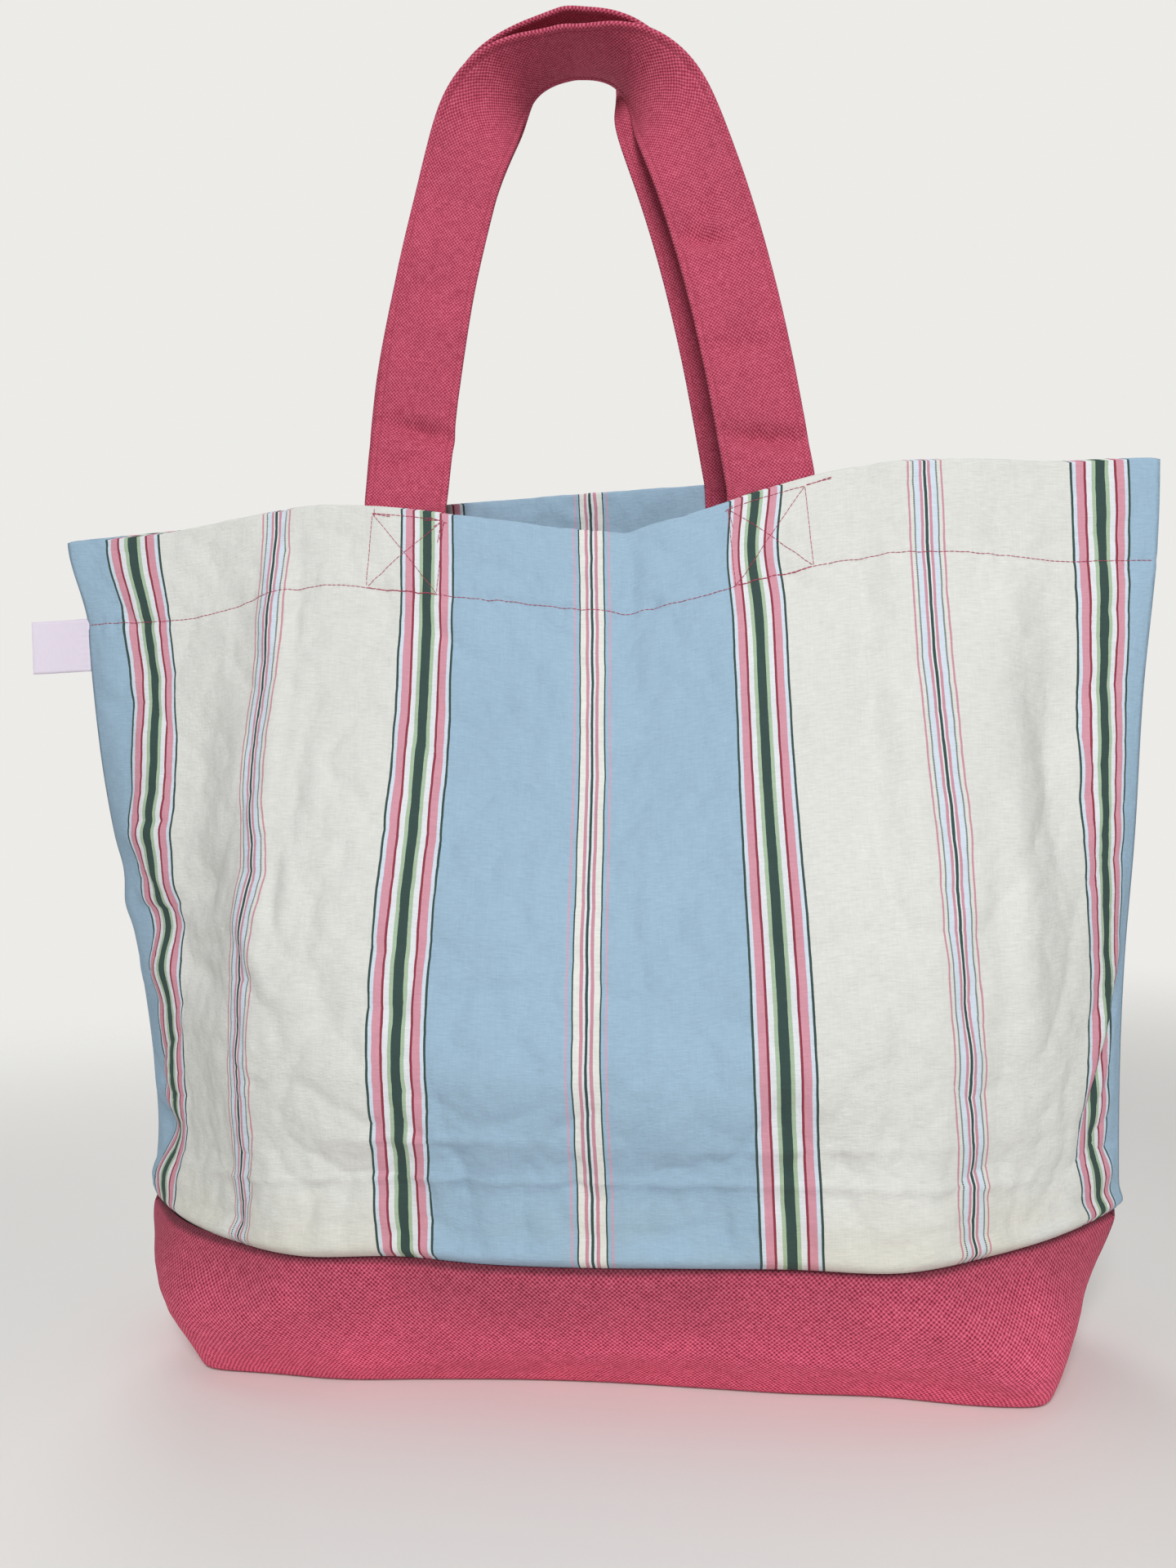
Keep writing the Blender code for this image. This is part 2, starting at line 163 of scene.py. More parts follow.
# Straps
STRAP_WIDTH = 0.050
STRAP = 0.003  # thickness
STRAP_GAP = 0.0006
STRAP_CENTRE = 0.1075
STRAP_END_LENGTH = 0.042
STRAP_OUTLINE_X = (1.00, 0.895, 0.765, 0.60, 0.455, 0.25, 0.00)
STRAP_OUTLINE_Z = (0.00, 0.30, 0.56, 0.79, 0.91, 0.98, 1.00)
STRAP_TOPS = {FRONT: 0.754, BACK: 0.768}
STRAP_TOP_Y = {FRONT: 0.003, BACK: 0.016}
STRAP_SHIFTS = {FRONT: {-1: 0.0, 1: 0.0}, BACK: {-1: -0.016, 1: -0.014}}
SHIFT_FADES = {-1: (0.0, 0.65), 1: (0.45, 0.95)}
STRAP_PEAKS = {FRONT: 0.001, BACK: 0.006}
STRAP_PEAK_REACH = 0.028
STRAP_PEAK_FADE = (0.5, 0.8)
TWIST_START = 0.42
TWIST_END = 0.94
FOOT_GAP = 0.0002
END_BELOW_HINGE = 0.004
LEAST_BELOW_RIM = 0.001
STRAP_CUP = 0.0007
STRAP_WAVE = 0.0009
STRAP_WAVE_CHANGE = 0.02
STRAP_FREE = 0.02
EDGE_ROUND = 0.0014
EDGE_STITCH_INSET = 0.004
STITCH_GROOVE = 0.00035
STITCH_GROOVE_REACH = 0.0009

# Thread
THREAD_RADIUS = 0.00021
STITCH_LENGTH = 0.0028
STITCH_GAP = 0.0001
STITCH_RISES = (-0.6, 0.7, 1.0, 0.7, -0.6)  # in thread radii
STITCH_RADII = (0.6, 1.0, 1.0, 1.0, 0.6)
HEM_STITCH_END = 0.995
TUBE_SIDES = 6
BOX_HALF_WIDTH = 0.0215
BOX_TOP_INSET = 0.004
BOX_LOW_INSET = 0.0003
BOX_LEANS = {FRONT: 0.0028, BACK: 0.0}
# Loose lock stitches of the front's boxes: from and to, each a place across and a share of the height
LOCK_STITCHES = {
    -1: (
        ((0.0215, 1.00), (0.0100, 0.97)),
        ((0.0205, 1.03), (0.0190, 0.66)),
        ((0.0225, 1.00), (0.0198, 0.72)),
        ((0.0245, 0.97), (0.0130, 1.02)),
        ((0.0215, 1.00), (0.0150, 0.88)),
        ((-0.0215, 1.00), (-0.0100, 0.97)),
        ((-0.0230, 1.01), (-0.0090, 0.99)),
        ((-0.0205, 1.08), (-0.0200, 0.94)),
    ),
    1: (
        ((0.0215, 1.00), (0.0375, 1.03)),
        ((0.0215, 1.01), (0.0370, 1.01)),
        ((-0.0215, 1.02), (-0.0195, 0.72)),
        ((-0.0240, 0.98), (-0.0180, 1.03)),
    ),
}

# Label tab in the left side seam
LABEL_LENGTH = 0.040
LABEL_HEIGHT = 0.033
LABEL_TAPE = 0.0005
LABEL_FOLD_GAP = 0.0004
LABEL_WAVE = 0.0012
LABEL_WAVE_TURN = 2.6
LABEL_WAVE_LEAN = 12
LABEL_CRIMP = 0.0005
LABEL_CRIMP_PITCH = 0.0038
LABEL_CRIMP_REACH = 0.012

# Mesh counts and steps
CLOTH_COLUMNS = 240
ACROSS = np.linspace(-1, 1, CLOTH_COLUMNS + 1)
FINE_BELOW = 0.07
FINE_ROW = 0.0016
COARSE_ROW = 0.0027
FINE_ABOVE = 0.35
TOP_ROWS = 30
SECTION_SAMPLES = 400
FOLD_ROWS = 6
HEM_ROWS = 16
BASE_COLUMNS = 130
BASE_WALL_ROWS = 34
BASE_EDGE_ROWS = 6
BASE_BOTTOM_ROWS = 14
WELD = 0.00002
TINY = 1e-12
LOOP_SAMPLES = 600
STRAP_STEP = 0.0022
STRAP_SMOOTHING = 0.004
SMOOTH_SPREAD = 1.4
STRAP_END_ROWS = 22
STRAP_STATIONS_MM = (0, 0.1, 0.4, 0.9, 1.6, 2.4, 3.1, 3.6, 4.0, 4.4, 4.9, 6.5, 10, 15, 20, 25)
HEM_OUTER_SAMPLES = 500
HEM_INNER_SAMPLES = 480
BOX_SAMPLES = 60
LABEL_COLUMNS = 26
LABEL_TURNS = 9
LABEL_ROWS = 22

# Folds of the cloth in mm: u across from the middle, v up from the base seam, direction in
# degrees, half length, half width, height (below zero for a valley)
FRONT_FOLDS = (
    (264, 270, 90, 100, 28, -16.0),
    (-242, 215, 90, 185, 40, -16.0),
    (0, 100, 0, 230, 26, 4.5),
    (0, 40, 0, 240, 20, -5.0),
    (212, 150, 90, 80, 9, -2.6),
    (228, 160, 90, 80, 10, 1.8),
    (120, 190, 80, 70, 16, 1.6),
    (-238, 194, 25, 24, 9, -4.0),
    (-232, 170, 20, 24, 8, 3.0),
    (-236, 143, -15, 26, 9, -4.0),
    (-228, 118, 10, 26, 9, 2.5),
    (-286, 228, 8, 36, 15, 4.0),
    (-280, 190, -20, 26, 5, -1.6),
    (-276, 170, -8, 34, 14, -4.5),
    (-282, 143, 6, 30, 11, 3.0),
    (-300, 46, 4, 30, 12, -6.0),
    (-306, 17, 0, 30, 11, 5.0),
    (-172, 352, 90, 48, 6, -3.0),
    (-188, 352, 90, 48, 8, 2.6),
    (-169, 190, 90, 20, 4, -2.2),
    (-158, 190, 90, 22, 6, 1.8),
    (-176, 150, 130, 26, 6, 1.6),
    (-215, 250, 60, 60, 12, 1.8),
    (-230, 320, 40, 60, 14, 1.8),
    (-140, 110, 30, 60, 12, 1.2),
    (27, 380, 90, 30, 8, -2.4),
    (60, 330, 70, 55, 12, 1.3),
    (154, 275, 90, 90, 9, -3.4),
    (172, 250, 90, 90, 8, 2.2),
    (160, 174, 110, 17, 4, -2.4),
    (172, 150, 150, 24, 6, 1.5),
    (230, 330, 120, 50, 10, 1.6),
    (250, 250, 100, 60, 10, -1.4),
    (286, 104, 67, 38, 6, 2.6),
    (297, 100, 67, 38, 5, -3.6),
    (306, 27, 0, 22, 9, 2.0),
    (306, 12, 0, 22, 7, -1.5),
    (-62, 67, 2, 44, 2.5, 1.1),
)
# Sharp creases of the front in the same terms, their half width being the reach of each slope
FRONT_CREASES = (
    (-179, 310, 88, 95, 12, 3.6),
    (26, 375, 88, 40, 7, -2.6),
    (40, 330, 76, 45, 9, 1.3),
    (-80, 64, 1, 60, 3, 1.5),
    (115, 60, -2, 70, 3, 1.5),
    (165, 345, 96, 40, 5, -1.2),
    (228, 352, 70, 26, 5, -1.2),
    (206, 340, 100, 22, 4, 1.0),
    (252, 330, 60, 30, 6, -1.3),
    (-240, 372, 40, 24, 5, -1.0),
    (-140, 385, 60, 18, 4, -0.9),
    (70, 385, 50, 22, 5, -0.9),
)
BACK_FOLDS = (
    (-268, 150, 12, 40, 12, 3.5),
    (-262, 118, 4, 38, 11, -3.0),
    (270, 205, -10, 38, 11, 3.5),
    (264, 178, -4, 36, 10, -3.0),
    (110, 300, 90, 80, 8, -1.6),
    (-120, 280, 96, 80, 8, -1.8),
    (-104, 270, 96, 80, 8, 1.4),
    (40, 60, 20, 60, 14, 1.6),
)
# Where the stripes are pulled aside in mm: place across and up, reach across and up, amount
STRIPE_SLIPS = (
    (-60, 260, 75, 190, -4.6),
    (-80, 30, 60, 36, 5.0),
    (150, 300, 75, 130, 4.2),
    (-195, 0, 60, 70, 15.0),
    (-200, 180, 36, 170, 2.8),
    (150, 0, 80, 70, -4.5),
    (-275, 300, 36, 60, -8.0),
    (-282, 205, 36, 30, 3.0),
    (-280, 110, 36, 50, -10.5),
    (-285, 20, 36, 24, 4.5),
    (-187, 255, 36, 40, 5.0),
    (-187, 203, 36, 26, -5.0),
    (101, 375, 30, 25, 4.0),
    (193, 150, 40, 50, 2.6),
    (200, 30, 40, 34, -3.6),
    (284, 260, 36, 95, -11.0),
    (284, 140, 36, 60, -6.0),
    (292, 0, 40, 26, -10.0),
)
BACK_STRIPE_SLIP = 0.0055
PRESS_CREASE_HEIGHT = 0.044
PRESS_CREASE_BOW = 0.20
PRESS_CREASE_RISE = 0.0022
PRESS_CREASE_REACH = 0.0035
PRESS_CREASE_FADE = (0.20, 0.27)
BASE_FOLDS = (
    (200, 40, -52, 52, 14, 3.2),
    (232, 52, -60, 40, 14, -2.0),
    (-188, 42, 55, 46, 14, 2.8),
    (-222, 48, 65, 36, 12, -1.6),
    (-120, 12, 8, 60, 7, 1.4),
    (60, 24, -3, 90, 9, 1.2),
    (150, 14, -6, 50, 6, -1.2),
)
# Noise on the cloth: scale per metre, height
SOFT_WAVES = ((7.0, 0.0022), (19.0, 0.0010), (55.0, 0.00030))
CRUMPLES = ((13.0, 0.0032), (31.0, 0.0022), (70.0, 0.0010))
CRUMPLE_STRETCH = 0.8
MIDDLE_ROUGHNESS = 1.7
ROUGH_FADE = (0.16, 0.23)
LOW_ROUGHNESS = 0.3
LOW_ROUGH_HEIGHT = 0.04
LOW_ROUGH_REACH = 0.05

# Creases of the straps in mm: place across, distance from the left end or, below zero, from the
# right end, direction in degrees, half length, half width, height
STRAP_FOLDS = {
    FRONT: (
        (-3, 92, 10, 22, 6, -7.0),
        (4, 72, -12, 16, 4, -2.4),
        (6, 178, -12, 15, 3, -1.3),
        (-8, 120, 30, 16, 5, 1.0),
        (2, -74, 18, 22, 6, -7.5),
        (-4, -130, 8, 20, 8, -4.0),
        (-8, -197, 35, 14, 5, -6.0),
        (-4, -209, -50, 12, 5, -4.4),
        (4, -186, 10, 14, 5, 2.6),
        (8, -150, -25, 18, 5, 1.0),
    ),
    BACK: (
        (4, 80, 10, 20, 4, -1.4),
        (-6, -90, -12, 18, 4, -1.4),
        (0, 200, 20, 16, 4, 1.0),
    ),
}

# Colours, sRGB
CREAM = (217, 218, 213)
IVORY = (225, 226, 221)
BLUE = (154, 182, 203)
PINK = (208, 147, 162)
CRIMSON = (140, 48, 68)
MAUVE = (198, 142, 156)
LILAC = (204, 160, 180)
DARK_GREEN = (48, 70, 66)
LIGHT_GREEN = (167, 189, 160)
WHITE = (223, 226, 230)
PALE_BLUE = (206, 218, 230)
STAIN = (238, 228, 198)
CANVAS_LIGHT = (226, 112, 138)
CANVAS_MIDDLE = (200, 78, 106)
CANVAS_SHADE = (190, 68, 96)
CANVAS_DARK = (158, 44, 74)
BASE_HOLE = (112, 24, 50)
STRAP_HOLE = (150, 40, 70)
THREAD_DARK = (146, 44, 70)
THREAD_LIGHT = (188, 80, 104)
TAPE = (231, 221, 236)
FLOOR = (236, 235, 232)

# Stripes in mm: distance from the middle of a band, colour, how solid the line is
SOLID = 1.0
DOTTED = 0.5
FIELD = 0.0
BAND_REACH = 16
BAND_A = (
    (0.0, DARK_GREEN, SOLID),
    (2.5, LIGHT_GREEN, SOLID),
    (4.4, WHITE, SOLID),
    (7.2, CRIMSON, SOLID),
    (8.5, PINK, SOLID),
    (12.4, PALE_BLUE, SOLID),
    (14.2, DARK_GREEN, SOLID),
    (15.5, CREAM, FIELD),
)
BAND_B = (
    (0.0, DARK_GREEN, SOLID),
    (0.7, WHITE, SOLID),
    (1.5, MAUVE, SOLID),
    (2.9, PALE_BLUE, SOLID),
    (5.6, DARK_GREEN, DOTTED),
    (6.4, CREAM, FIELD),
    (8.1, MAUVE, SOLID),
    (9.1, CREAM, FIELD),
)
BAND_C = (
    (0.0, DARK_GREEN, SOLID),
    (0.75, WHITE, SOLID),
    (2.0, MAUVE, SOLID),
    (3.8, IVORY, SOLID),
    (6.95, DARK_GREEN, SOLID),
    (7.8, CREAM, FIELD),
    (9.8, LILAC, DOTTED),
    (11.1, CREAM, FIELD),
)
STRIPE_SHIFT = 0.003
STRIPE_SWAY = 0.0003
BAND_B_PLACE = 0.190
BAND_A_FROM_B = 0.092
DOT_PITCH = 0.0008
DOT_CUT = -0.6

# Weaves: a grain is noise with its scales per metre, along the two cloth directions. Tones are how
# far that noise strays from the half, its darkest tone and its lightest. A bump is depth and strength.
STRIPE_SWAY_GRAIN = (20, 160)
WEFT_GRAIN = (160, 1150)
WEFT_TONES = (0.25, 0.93, 1.07)
WARP_GRAIN = (1500, 120)
WARP_TONES = (0.25, 0.97, 1.03)
COTTON_CLOUDS = (14, 11)
CLOUD_TONES = (0.2, 0.97, 1.025)
COTTON_ROUGHNESS = 0.88
CREASE_GRAIN = (120, 95)
CREASE_BUMP = (0.0022, 0.5)
RIB_PITCH = 0.00055
RIB_SHARE = 0.25
RIB_BUMP = (0.00022, 0.6)
STAIN_GRAIN = (16, 30)
STAIN_TONES = (0.15, 0.0, 1.0)
STAIN_HEIGHT = 0.05
STAIN_SHARE = 0.28
BASE_PITCH = 0.0026
STRAP_PITCH = 0.0021
YARN_SWAY = 0.0016
YARN_SWAY_GRAIN = (120, 120)
YARN_GRAIN = (150, 900)
YARN_SHARE = 1.3
WEAVE_RANGE = (0.3, 2.3)
CANVAS_STOPS = (0.12, 0.36, 0.64, 0.78, 0.90)
WEAVE_BUMP = (0.0007, 0.6)
CANVAS_ROUGHNESS = 0.92
CANVAS_CLOUDS = (22, 22)
CANVAS_TONES = (0.2, 0.80, 0.93)
DENT_GRAIN = (60, 60)
DENT_BUMP = (0.0012, 0.3)
# Painted light and shade on the base canvas: darkened below the seam, where the overhanging cloth
# shades it, and lightened toward the lower edge. Given here are how far below the seam this runs, and
# the tones at each end.
SHADE_BELOW_SEAM = 0.075
SEAM_SHADE_TONES = (0.98, 1.50)
# A painted shadow line on the base canvas, in the groove just below the seam. Given here are where it
# starts and ends below the seam, and its darkest tone.
GROOVE_SHADOW_START = 0.0025
GROOVE_SHADOW_END = 0.0068
GROOVE_SHADOW_TONE = 0.35
THREAD_GRAIN = 2600.0
THREAD_STOPS = ((0.3, THREAD_DARK, SOLID), (0.7, THREAD_LIGHT, SOLID))
THREAD_BUMP = (0.0001, 0.6)
THREAD_ROUGHNESS = 0.7
TAPE_GRAIN = (2600, 240)
TAPE_TONES = (0.25, 0.965, 1.02)
TAPE_RIB_PITCH = 0.0005
TAPE_RIB_SHARE = 0.4
TAPE_BUMP = (0.0001, 0.5)
TAPE_ROUGHNESS = 0.6
FLOOR_ROUGHNESS = 0.9


def linear(colour):
    """An sRGB colour of 0 to 255 as linear values with full alpha."""
    values = np.array(colour) / 255
    low = values / 12.92
    high = ((values + 0.055) / 1.055) ** 2.4
    return (*np.where(values <= 0.04045, low, high), 1.0)


def along(stations, part):
    """A smooth curve through equally spaced values, read at part, 0 to 1."""
    values = np.asarray(stations, float)
    last = len(values) - 1
    place = np.clip(part, 0, 1) * last
    i = np.minimum(np.floor(place).astype(int), last - 1)
    f = place - i
    start = values[i]
    end = values[i + 1]
    lead = (end - values[np.maximum(i - 1, 0)]) / 2
    trail = (values[np.minimum(i + 2, last)] - start) / 2
    cube = 2 * (start - end) + lead + trail
    square = 3 * (end - start) - 2 * lead - trail
    return ((cube * f + square) * f + lead) * f + start


def across_mm(stations, across):
    """A smooth curve through values in mm, from the left side seam (-1) to the right one (1)."""
    return along(stations, (across + 1) / 2) / 1000


def ease(value, start, end):
    """A soft step from 0 at start to 1 at end."""
    f = np.clip((value - start) / (end - start), 0, 1)
    return f * f * (3 - 2 * f)


def bell(value, reach):
    """A soft hump, 1 in the middle."""
    return np.exp(-((value / reach) ** 2))


def ridge(value, reach):
    """A sharp ridge, 1 in the middle."""
    return np.exp(-np.abs(value) / reach)


def lerp(start, end, share):
    return start + (end - start) * share


def unit(vectors):
    return vectors / np.maximum(np.linalg.norm(vectors, axis=-1, keepdims=True), TINY)


def lengths_along(points):
    """Distance along a line of points, from its start to each point."""
    steps = np.linalg.norm(np.diff(points, axis=0), axis=1)
    return np.concatenate([[0], np.cumsum(steps)])


def read_at(places, known, values):
    """Rows of values, known at some places, read at other places in between."""
    return np.stack([np.interp(places, known, values[:, k]) for k in range(values.shape[1])], 1)


def section(across, half_width, bulge, squareness):
    """A level cut through one side of the bag, at equal steps of cloth from seam (-1) to seam (1).

    Returns x and how far the cloth stands out from the plane of the side seams.
    """
    u = np.linspace(0, 1, SECTION_SAMPLES)
    x = half_width * u
    out = bulge * (1 - u**squareness)
    length = lengths_along(np.stack([x, out], 1))
    here = np.abs(across) * length[-1]
    return np.copysign(np.interp(here, length, x), across), np.interp(here, length, out)


def fold(u, v, at_u, at_v, direction, half_length, half_width, height, profile=bell):
    """One fold of the cloth, all in mm: soft or, with a ridge for its profile, a sharp crease."""
    turn = math.radians(direction)
    on = (u - at_u) * math.cos(turn) + (v - at_v) * math.sin(turn)
    off = (v - at_v) * math.cos(turn) - (u - at_u) * math.sin(turn)
    return height * bell(on, half_length) * profile(off, half_width)


def uneven(u, v, scale, seed):
    """Smooth noise of about -1 to 1 over the cloth."""
    places = zip((u * scale).ravel(), (v * scale).ravel())
    values = [noise.noise(Vector((a, b, seed))) for a, b in places]
    return np.array(values).reshape(u.shape)


def waves(u, v, seed):
    """Soft unevenness of the cloth at a few scales."""
    return sum(height * uneven(u, v, scale, seed + scale) for scale, height in SOFT_WAVES)


def crumples(u, v, seed):
    """Sharper creases, where the cloth was pressed together."""
    total = np.zeros(u.shape)
    for scale, height in CRUMPLES:
        depths = np.sqrt(np.abs(uneven(u, v * CRUMPLE_STRETCH, scale, seed - scale)))
        total += height * (depths - depths.mean())
    return total


def rim_height(side, x):
    """Height of the rim: the back bows up, the front sags between the straps."""
    part = x / HALF_WIDTHS[-1]
    if side == BACK:
        return CORNER_HEIGHT + BACK_RIM_RISE * (1 - np.abs(part) ** BACK_RIM_POWER)
    dip = DIP_CREASE * ridge(x - DIP_CREASE_PLACE, DIP_CREASE_REACH)
    return CORNER_HEIGHT + across_mm(FRONT_RIM_MM, part) - dip


def hem_up(side, across, above=0.0):
    """How far up a panel the hem's stitching lies, or a line that much above it."""
    depth = across_mm(HEM_DEPTHS_MM[side], across) - above
    return 1 - depth / (rim_height(side, across * CLOTH_HALF) - SEAM_HEIGHT)


def side_flare(sign, v):
    """How far a side seam stands out beyond its plain line, v above the base seam."""
    bumps = [amount * bell(v * 1000 - height, reach) for height, reach, amount in SIDE_BUMPS[sign]]
    steps = [amount * ease(v * 1000, start, end) for start, end, amount in SIDE_STEPS[sign]]
    return sum(bumps + steps) / 1000


def stripe_slip(side, u, v):
    """How far the stripes are pulled aside along the cloth."""
    if side == BACK:
        return BACK_STRIPE_SLIP
    total = 0
    for at_u, at_v, reach_u, reach_v, amount in STRIPE_SLIPS:
        total = total + amount * bell(u * 1000 - at_u, reach_u) * bell(v * 1000 - at_v, reach_v)
    return total / 1000


def seam_plan(side, across, from_seam):
    """How far the front stands out at its boxed corners and hangs in between, near the base seam."""
    if side == BACK:
        return 0.0
    return across_mm(SEAM_PLAN_MM, across) * bell(from_seam, SEAM_PLAN_HEIGHT)


def folded(side, u, v):
    """The folds, creases, crumples and waves of a panel whose cloth is free."""
    rough = lerp(MIDDLE_ROUGHNESS, 1, ease(np.abs(u), *ROUGH_FADE))
    rough = rough + LOW_ROUGHNESS * bell(v - LOW_ROUGH_HEIGHT, LOW_ROUGH_REACH)
    total = waves(u, v, side) + rough * crumples(u, v, side)
    for one in FRONT_FOLDS if side == FRONT else BACK_FOLDS:
        total += fold(u * 1000, v * 1000, *one) / 1000
    for one in FRONT_CREASES if side == FRONT else ():
        total += fold(u * 1000, v * 1000, *one, profile=ridge) / 1000
    pressed = v - PRESS_CREASE_HEIGHT + PRESS_CREASE_BOW * u**2
    flat = 1 - ease(np.abs(u), *PRESS_CREASE_FADE)
    return total + PRESS_CREASE_RISE * flat * ridge(pressed, PRESS_CREASE_REACH)


def freedom(u, v):
    """How free the cloth is to fold: it is held at its seams and where the straps are sewn on."""
    at_strap = bell(np.abs(u) - STRAP_CENTRE, STRAP_WIDTH)
    held = STRAP_HOLD * ease(v, STRAP_HOLD_START, CLOTH_HEIGHT) * at_strap
    return ease(v, 0, SEAM_HOLD) * (1 - held) * (1 - ease(np.abs(u), SIDE_HOLD_START, CLOTH_HALF))


def sewn_relief(side, across, u, v):
    """The cloth's roll above the base seam, and its puckers along the hem's stitching."""
    seam = SEAM_ROLL * bell(v - SEAM_ROLL_RISE, SEAM_ROLL_RISE) - SEAM_TUCK * bell(v, SEAM_TUCK_REACH)
    from_hem = v - hem_up(side, across)[None, :] * CLOTH_HEIGHT
    height = HEM_PUCKER * (HEM_PUCKER_MEAN + uneven(u[:1], 0 * u[:1], HEM_PUCKER_CHANGE, side))
    pucker = height * np.sin(u * 2 * math.pi / HEM_PUCKER_PITCH)
    sink = HEM_SINK * bell(from_hem, HEM_SINK_REACH)
    return seam - sink + pucker * bell(from_hem, HEM_PUCKER_REACH)


def plain_cloth(side, across, up):
    """One level row of a panel before its folds."""
    x, out = section(across, along(HALF_WIDTHS, up), along(BULGES[side], up), along(SQUARENESS, up))
    out = out + seam_plan(side, across, up * CLOTH_HEIGHT) + (CLOTH + SEAM_GAP) / 2
    return np.stack([x, side * out, lerp(SEAM_HEIGHT, rim_height(side, x), up)], 1)


def outward(points, side):
    """Outward normals of a grid of points whose rows run upwards and columns to the right."""
    right = np.gradient(points, axis=1)
    rise = np.gradient(points, axis=0)
    return unit(np.cross(right, rise)) * -side


def relief(side, across, up):
    """How far the cloth stands out from the plain shape."""
    u = across[None, :] * CLOTH_HALF + np.zeros((len(up), 1))
    v = up[:, None] * CLOTH_HEIGHT + np.zeros((1, len(across)))
    return folded(side, u, v) * freedom(u, v) + sewn_relief(side, across, u, v)


def cloth_rows():
    """Up values of the cloth's rows, closer together at the base seam and at the hem."""
    low = np.arange(0, FINE_BELOW, FINE_ROW)
    middle = np.arange(FINE_BELOW, FINE_ABOVE, COARSE_ROW)
    top = np.linspace(FINE_ABOVE, CLOTH_HEIGHT, TOP_ROWS)
    return np.concatenate([low, middle, top]) / CLOTH_HEIGHT


def make_grid(side):
    """The middle surface of a panel's outer layer, with its normals and upward directions."""
    up = cloth_rows()
    points = np.array([plain_cloth(side, ACROSS, part) for part in up])
    for _, sign in HANDS:
        flare = side_flare(sign, up[:, None] * CLOTH_HEIGHT)
        points[:, :, 0] += sign * flare * ease(sign * ACROSS, SIDE_REACH, 1)
    points = points + outward(points, side) * relief(side, ACROSS, up)[:, :, None]
    return {
        "side": side,
        "up": up,
        "points": points,
        "normals": outward(points, side),
        "rises": unit(np.gradient(points, axis=0)),
    }


def between(values, column, row):
    """Values of a grid read at columns and rows that aren't whole numbers."""
    c = np.clip(np.floor(column).astype(int), 0, values.shape[1] - 2)
    r = np.clip(np.floor(row).astype(int), 0, values.shape[0] - 2)
    f = (column - c)[..., None]
    low = lerp(values[r, c], values[r, c + 1], f)
    high = lerp(values[r + 1, c], values[r + 1, c + 1], f)
    return lerp(low, high, (row - r)[..., None])


def on_cloth(grid, across, up, offset=0.0, lift=0.0):
    """Points and normals of a panel at arrays of across and up, moved out and up."""
    across, up = np.broadcast_arrays(np.asarray(across, float), np.asarray(up, float))
    column = (across + 1) / 2 * CLOTH_COLUMNS
    row = np.interp(up, grid["up"], np.arange(len(grid["up"])))
    normals = unit(between(grid["normals"], column, row))
    rises = between(grid["rises"], column, row)
    return between(grid["points"], column, row) + normals * offset + rises * lift, normals


def across_at(grid, x, up):
    """The across values whose points lie at x, near the height up."""
    row = np.argmin(np.abs(grid["up"] - up))
    return np.interp(x, grid["points"][row, :, 0], ACROSS)


def up_below_rim(distance):
    return 1 - distance / CLOTH_HEIGHT


def add_object(name, data):
    thing = bpy.data.objects.new(name, data)
    bpy.context.scene.collection.objects.link(thing)
    return thing


def make_piece(name, points, faces, uv, material):
    """A smooth mesh object, with a cloth map in metres where it has one."""
    mesh = bpy.data.meshes.new(name)
    mesh.from_pydata(points.reshape(-1, 3).tolist(), [], faces)
    if uv:
        uv = np.stack(np.broadcast_arrays(*uv), 2).reshape(-1, 2)
        corners = np.empty(len(mesh.loops), np.int32)
        mesh.loops.foreach_get("vertex_index", corners)
        layer = mesh.uv_layers.new(name="cloth")
        layer.data.foreach_set("uv", uv[corners].astype(np.float32).ravel())
    mesh.shade_smooth()
    mesh.materials.append(material)
    return add_object(name, mesh)


def ring_faces(rows, count, first=0, flip=False):
    """Faces of a tube, given as rings of points, with its two ends."""
    faces = []
    for low in range(first, first + (rows - 1) * count, count):
        high = low + count
        for c in range(count):
            n = (c + 1) % count
            quad = (low + c, low + n, high + n, high + c)
            faces.append(quad[:1] + quad[:0:-1] if flip else quad)
    ends = (range(first, first + count)[::-1], range(first + (rows - 1) * count, first + rows * count))
    return faces + [tuple(end[::-1] if flip else end) for end in ends]


def make_cloth(name, points, u, v, material, thickness, offset=0.0, flip=False):
    """A sheet from a grid of points, with its cloth map and its thickness."""
    faces = grid_faces(*points.shape[:2], flip)
    thing = make_piece(name, points, faces, (u, v), material)
    solidify = thing.modifiers.new("thickness", "SOLIDIFY")
    solidify.thickness = thickness
    solidify.offset = offset
    return thing


def grid_faces(rows, columns, flip=False):
    """Four-sided faces of a grid of points, given row by row."""
    r, c = np.meshgrid(np.arange(rows - 1), np.arange(columns - 1), indexing="ij")
    first = (r * columns + c).ravel()
    quads = np.stack([first, first + 1, first + columns + 1, first + columns], 1)
    return (quads[:, ::-1] if flip else quads).tolist()


